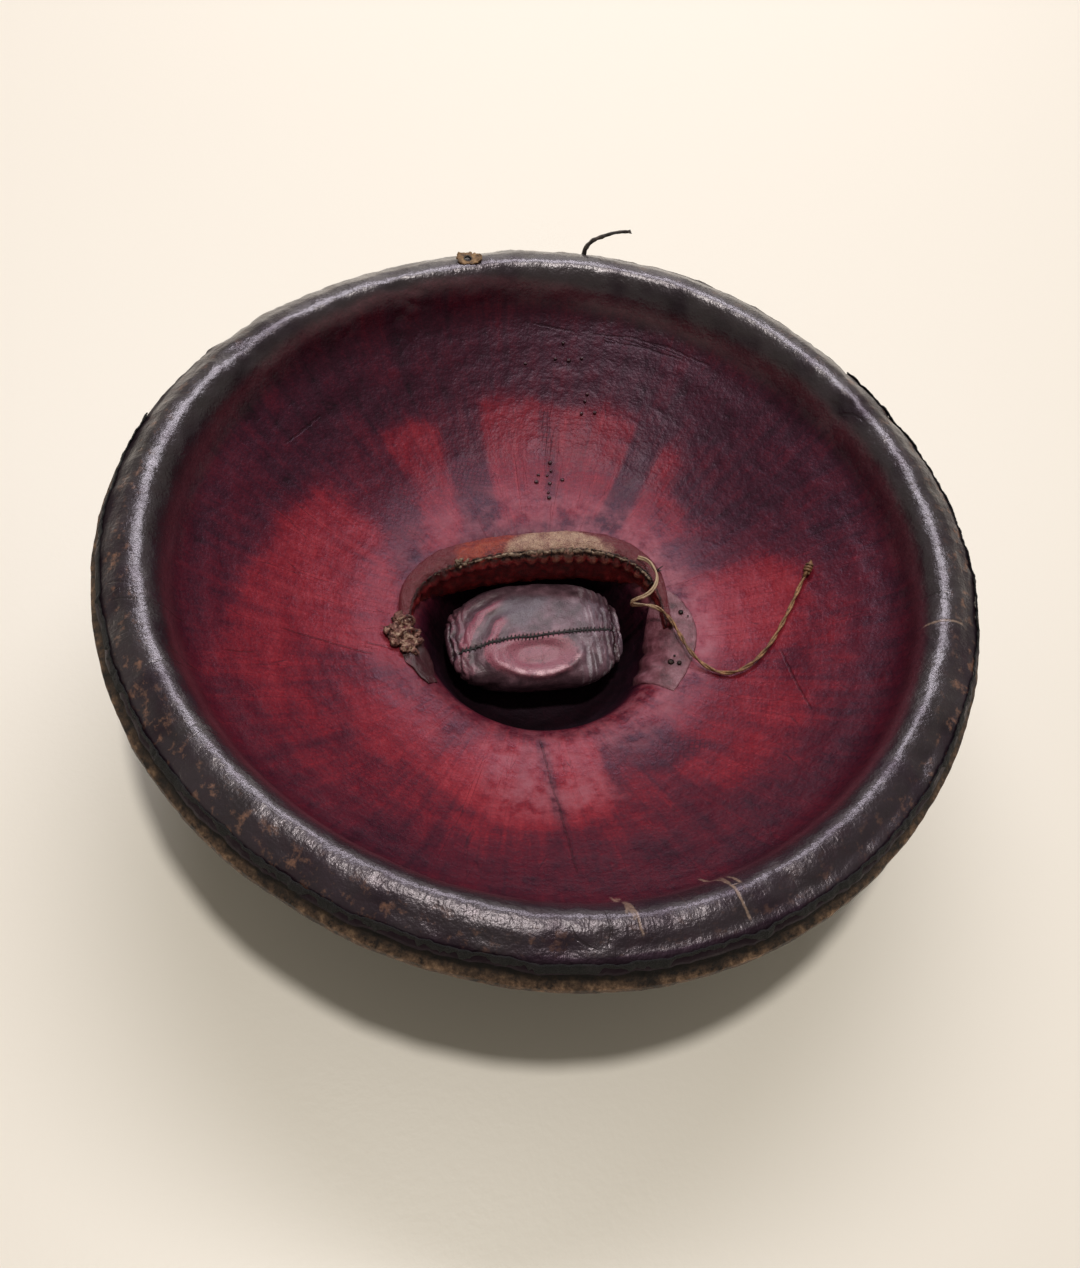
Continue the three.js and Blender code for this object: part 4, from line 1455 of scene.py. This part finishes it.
# each flap's outline in rows: degrees round, and mm from the lip to its inner and outer edge
RIGHT_FLAP = [
    (-39, -26, 13), (-33, -27, 14.5), (-26, -27, 15.5), (-18, -26, 17), (-10, -24, 17.5),
    (-2, -20, 15), (6, -12, 10), (13, -4, 3),
]
LEFT_FLAP = [
    (176, -8, 1), (182, -14, 4), (188, -18, 7), (194, -18, 7), (199, -16, 4), (204, -12, 2),
    (208, -8, 0),
]
RIGHT_CREASES = [[(56, -45), (66, -51), (77, -57)], [(66, -28), (76, -32)], [(64, -36), (74, -42)]]
LEFT_CREASES = [
    [(-90, -14), (-84, -30)], [(-86, -12), (-80, -28)], [(-93, -12), (-91, -26)],
    [(-83, -8), (-76, -26)],
]
# nails: where, and the radius of the head, in mm
NAILS = [
    (92.9, -2.9, 1.7), (78.9, -39.2, 2.1), (83.6, -41.2, 1.5), (82, -35, 0.8), (96.5, -7, 0.6),
]


class SHIELD_OT_flaps(bpy.types.Operator):
    """The flaps at the grip's feet, with their nails"""
    bl_idname = "shield.flaps"
    bl_label = "Flaps"

    def execute(self, context):
        # The same leather as the grip's, undyed: greyish mauve, folded stiff over the lip.
        look = leather(
            "Greyed flap leather", ("#3c1620", "#6b3b45", "#956470"), 9.0, 1.1, 0.42,
            seed=12, deep=0.4, over=[("soiled", "#3a1a1f"), ("crease", "#120609")],
        )
        flap = self.flap(RIGHT_FLAP, 64, 40, self.right_fold)
        flap = finished(flap, "right_flap", look)
        self.paint(flap, RIGHT_CREASES, np.full(len(flap.data.vertices), 0.15))
        flap = self.flap(LEFT_FLAP, 52, 34, self.left_fold)
        flap = finished(flap, "left_flap", look)
        at = places(flap)
        radius = np.hypot(at[:, 0], at[:, 1])
        soiled = 0.95 - 0.5 * soft(radius, 84, 92) + 0.5 * mottling(at, 5, 3)
        self.paint(flap, LEFT_CREASES, soiled)
        self.nails()
        return {"FINISHED"}

    def flap(self, edge, across, along, fold):
        """A sheet over the lining between the rows of its outline, with its folds."""
        bm = bmesh.new()
        bmesh.ops.create_grid(bm, x_segments=across, y_segments=along, size=1)
        outline = smooth_line(edge, 1.5)
        for vert in bm.verts:
            u, v = (vert.co.x + 1) / 2, (vert.co.y + 1) / 2
            spot = u * (len(outline) - 1)
            i = min(int(spot), len(outline) - 2)
            angle, inner, outer = outline[i].lerp(outline[i + 1], spot - i)
            corner = abs(2 * v - 1) ** 4 + abs(2 * u - 1) ** 4
            out = inner + (outer - inner) * v + 0.7 * rough((u * 40, v * 8, 0), 6, 4) * corner
            hem = max(abs(2 * u - 1), abs(2 * v - 1)) ** 12
            vert.co = bed(angle, out, 1.1 * (1 - 0.9 * hem) + fold(angle, out))
        bmesh.ops.recalc_face_normals(bm, faces=bm.faces)
        thickened(bm, 1.6)
        return bm

    def right_fold(self, angle, out):
        """Folds that run slantwise down into the well."""
        inside = 1 - smooth(out, -9, 1)
        near = 1 - smooth(angle, -16, -6)
        wave = math.sin((angle * 1.5 + out * 0.55) / 2.6 + 0.8 * rough((angle, out, 0), 12, 3))
        return inside * near * 0.9 * wave + 0.35 * rough((angle, out, 0), 9, 6)

    def left_fold(self, angle, out):
        """Creases that fan out from the tie."""
        fan = math.atan2(out + 4, (angle - 184) * 1.5) * 5.5
        wave = math.sin(fan + 1.1 * rough((angle, out, 0), 9, 5))
        return 0.9 * wave * (1 - smooth(out, 7, 15)) + 0.6 * rough((angle, out, 0), 5, 2)

    def paint(self, piece, creases, soiled):
        at = places(piece)
        gap, on = beside(at[:, 0], at[:, 1], creases)
        # painted shade along the creases and down into the well
        crease = 0.8 * bell(gap, 1.2) * on + 0.7 * (1 - soft(at[:, 2], 44, 62))
        painted(piece, soiled=soiled, crease=crease)

    def nails(self):
        """The nails' domed heads in the right flap."""
        bm = bmesh.new()
        for x, y, size in NAILS:
            place = on_bed(x, y, 2.0)
            made = bmesh.ops.create_uvsphere(bm, u_segments=18, v_segments=10, radius=size)
            for vert in made["verts"]:
                dome = vert.co.z * 0.45 * (1 + 0.3 * noise.noise(vert.co * 2))
                vert.co = place + Vector((vert.co.x, vert.co.y, dome))
        # Hand-forged iron nails, black and dull, flecked with brown.
        look, node, shader, mm = started("Forged iron nails")
        rust = node("TexNoise", Vector=mm, Scale=1 / 1.2, Detail=4.0, Roughness=0.6)
        feed(shader, {
            "Base Color": node("ValToRGB", rust, stops=[(0.4, "#0d0909"), (0.7, "#2c1c15")]),
            "Roughness": node("MULTIPLY_ADD", rust, 0.5, 0.15),
            "Metallic": 0.7,
        })
        finished(bm, "flap_nails", look)


# the tie's lumps: where, and how big, in mm
TIE_LUMPS = [
    (-89.7, 7.8, 3.6), (-86.4, 2.4, 4.2), (-93, -1.6, 3.6), (-98, -2.4, 2.6), (-91.5, -5.6, 4.4),
    (-85.4, -7.4, 4.2), (-93.4, -11, 3.0), (-87.3, -13.8, 3.8), (-83.2, -11.6, 3.2),
    (-84.6, 6.4, 3.4), (-90, 3.2, 2.6), (-81.8, -2.2, 3.2), (-95.5, -6.2, 2.2),
    (-82.4, -17, 2.4), (-88.6, -10, 2.6), (-79.8, -8, 2.6),
]


class SHIELD_OT_tie(bpy.types.Operator):
    """The worn tie round the grip's left foot, with its loose ends"""
    bl_idname = "shield.tie"
    bl_label = "Left tie"

    def execute(self, context):
        dice = random.Random(33)
        bm = bmesh.new()
        for x, y, size in TIE_LUMPS:
            made = bmesh.ops.create_icosphere(bm, subdivisions=4, radius=size)["verts"]
            place = on_bed(x, y, size * 0.55 + 1.6)
            turn = Matrix.Rotation(dice.uniform(0, TAU), 3, "Z")
            seed = Vector((x, y, 0))
            for vert in made:
                co = vert.co
                crumple = 1 + 0.5 * noise.fractal(co * 0.4 + seed, 1.0, 2.0, 4)
                crumple += 0.14 * noise.noise(co * 1.8 + seed)
                shape = Vector((co.x * 1.15, co.y * 0.85, co.z * 0.85))
                vert.co = place + turn @ shape * crumple
        # two turns of the lashing that still hold
        for k in range(2):
            ring = []
            spot = Vector((-84 - 1.2 * k, 3 - 9.0 * k, 73.6))
            for i in range(25):
                turn = TAU * i / 24
                reach = (4.6 * math.cos(turn), 1.6 * math.sin(turn + k), 3.6 * math.sin(turn))
                ring.append(spot + Vector(reach))
            swept(bm, round_rings(ring, 1.05, 7, wobble=0.35, seed=k))
        for x, y, size in TIE_LUMPS:
            start = on_bed(x, y, size + 1.5)
            way = (dice.uniform(-1, 0.7), dice.uniform(-1, 0.8), dice.uniform(-0.1, 0.45))
            tip = start + Vector(way) * dice.uniform(3, 7)
            wisp(bm, [start, (start + tip) / 2 + Vector((0, 0, 0.8)), tip], 0.45, 0.3, 5)
        # Dried hide lashing, matted with grease and dust: brown lumps, paler where they catch, with
        # painted shade where they meet the lining.
        look = leather(
            "Matted hide lashing", ("#120808", "#74483f", "#c4a891"), 3.4, 0.9, 0.6, 0.12,
            seed=14, deep=0.8, over=[("grime", "#0f0706")],
        )
        tie = finished(bm, "left_lashing", look, ["left_foot_tie"])
        at = places(tie)
        floor = np.array([lining_height(float(p[0]), float(p[1])) for p in at])
        # painted shade where the lumps meet the lining
        painted(tie, grime=0.85 * (1 - soft(at[:, 2] - floor, 1.5, 4.5)))
        return {"FINISHED"}


STUB_ROUTE = [
    (60.8, 247.6, 148.5), (61.6, 249, 151.5), (63.4, 250.1, 156), (67, 250.7, 159.6),
    (72.4, 251.2, 162), (80, 252.2, 164), (86.6, 252.9, 164.6), (91.4, 253.6, 164.1),
]


class SHIELD_OT_rim_bits(bpy.types.Operator):
    """The stub of a dried thong and the torn tab, both on the far rim"""
    bl_idname = "shield.rim_bits"
    bl_label = "Rim bits"

    def execute(self, context):
        # Thong dried hard in the air: grey-black, ridged along its length.
        look = leather(
            "Dried dark thong", ("#15110f", "#332b28", "#5b504a"), 3.0, 0.7, 0.55,
            seed=17, deep=0.4,
        )
        bm = bmesh.new()
        route = smooth_line(STUB_ROUTE, 0.8)
        swept(bm, round_rings(
            route, lambda s: 2.0 - 0.75 * s + 0.12 * math.sin(s * 40), 12, flat=0.8, wobble=0.3,
        ))
        end = route[-1]
        for k in range(4):
            tip = end + Vector((2.0 + 0.3 * k, 0.7 - 0.5 * k, 0.9 - 0.6 * k))
            wisp(bm, [end - Vector((1, 0, 0)), tip], 0.7, 0.4, 6)
        finished(bm, "rim_thong_stub", look, ["rim_thong"])
        self.tab()
        return {"FINISHED"}

    def tab(self):
        """The torn scrap of hide, with the hole that its lace pulled through."""
        low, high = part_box("rim_tab")
        middle = (low + high) / 2 / MM
        half = (high - low) / 2 / MM
        bm = bmesh.new()
        bmesh.ops.create_grid(bm, x_segments=44, y_segments=24, size=1)
        gone = [
            v for v in bm.verts if math.hypot((v.co.x + 0.1) / 0.24, (v.co.y + 0.05) / 0.34) < 1
        ]
        bmesh.ops.delete(bm, geom=gone, context="VERTS")
        for vert in bm.verts:
            u, v = vert.co.x, vert.co.y
            rim = max(abs(u), abs(v)) ** 3
            tear_x = 0.09 * rim * rough((u * 20, v * 20, 3), 7, 2)
            tear_y = 0.2 * rim * rough((u * 20, v * 20, 9), 6, 5)
            x = middle.x + half.x * (0.94 * u * (1 - 0.1 * v * v) + tear_x)
            y = middle.y + half.y * (0.86 * v * (1 - 0.22 * abs(u) ** 3) + tear_y)
            curl = 1.6 * abs(u) ** 3 + 1.1 * v * abs(v) * (u < 0.3)
            curl += 0.8 * rough((u * 12, v * 9, 0), 8, 1)
            vert.co = Vector((x, y, middle.z - 0.4 + 0.8 * curl - 0.05 * (y - middle.y)))
        thickened(bm, 1.3)
        # Torn hide, tan and curled, dark where the lace has rubbed it.
        look = leather(
            "Torn tan hide", ("#3d2a1a", "#7e5f3e", "#a98a62"), 5.0, 0.8, 0.6,
            seed=19, deep=0.5, over=[("grime", "#120c08")],
        )
        tab = finished(bm, "rim_scrap", look, ["rim_tab"])
        at = places(tab)
        across = (at[:, 0] - middle.x + 0.1 * half.x) / (0.3 * half.x)
        away = np.hypot(across, (at[:, 1] - middle.y) / (0.42 * half.y))
        edge = 0.4 * soft(at[:, 0] - middle.x, 3, 9)
        painted(tab, grime=0.95 * (1 - soft(away, 0.8, 1.5)) + edge)


class SHIELD_PT_panel(bpy.types.Panel):
    """Lists the shield's pieces"""
    bl_idname = "SHIELD_PT_panel"
    bl_label = "Hide Shield"
    bl_space_type = "VIEW_3D"
    bl_region_type = "UI"
    bl_category = "Shield"

    def draw(self, context):
        for operator in OPERATORS:
            self.layout.operator(operator.bl_idname)
        scene = context.scene
        for group in (scene.shield_stage, scene.shield_sizes, scene.shield_colours):
            for name in group.__annotations__:
                self.layout.prop(group, name)


OPERATORS = [
    SHIELD_OT_stage, SHIELD_OT_thong, SHIELD_OT_hide, SHIELD_OT_lining, SHIELD_OT_pad,
    SHIELD_OT_grip, SHIELD_OT_flaps, SHIELD_OT_tie, SHIELD_OT_rim_bits,
]
CLASSES = [ShieldStage, ShieldSizes, ShieldColours, *OPERATORS, SHIELD_PT_panel]


def register():
    for item in CLASSES:
        bpy.utils.register_class(item)
    bpy.types.Scene.shield_stage = PointerProperty(type=ShieldStage)
    bpy.types.Scene.shield_sizes = PointerProperty(type=ShieldSizes)
    bpy.types.Scene.shield_colours = PointerProperty(type=ShieldColours)


def unregister():
    del bpy.types.Scene.shield_colours
    del bpy.types.Scene.shield_sizes
    del bpy.types.Scene.shield_stage
    for item in reversed(CLASSES):
        bpy.utils.unregister_class(item)


def main():
    register()
    for operator in OPERATORS:
        group, name = operator.bl_idname.split(".")
        getattr(getattr(bpy.ops, group), name)()


if __name__ == "__main__":
    main()
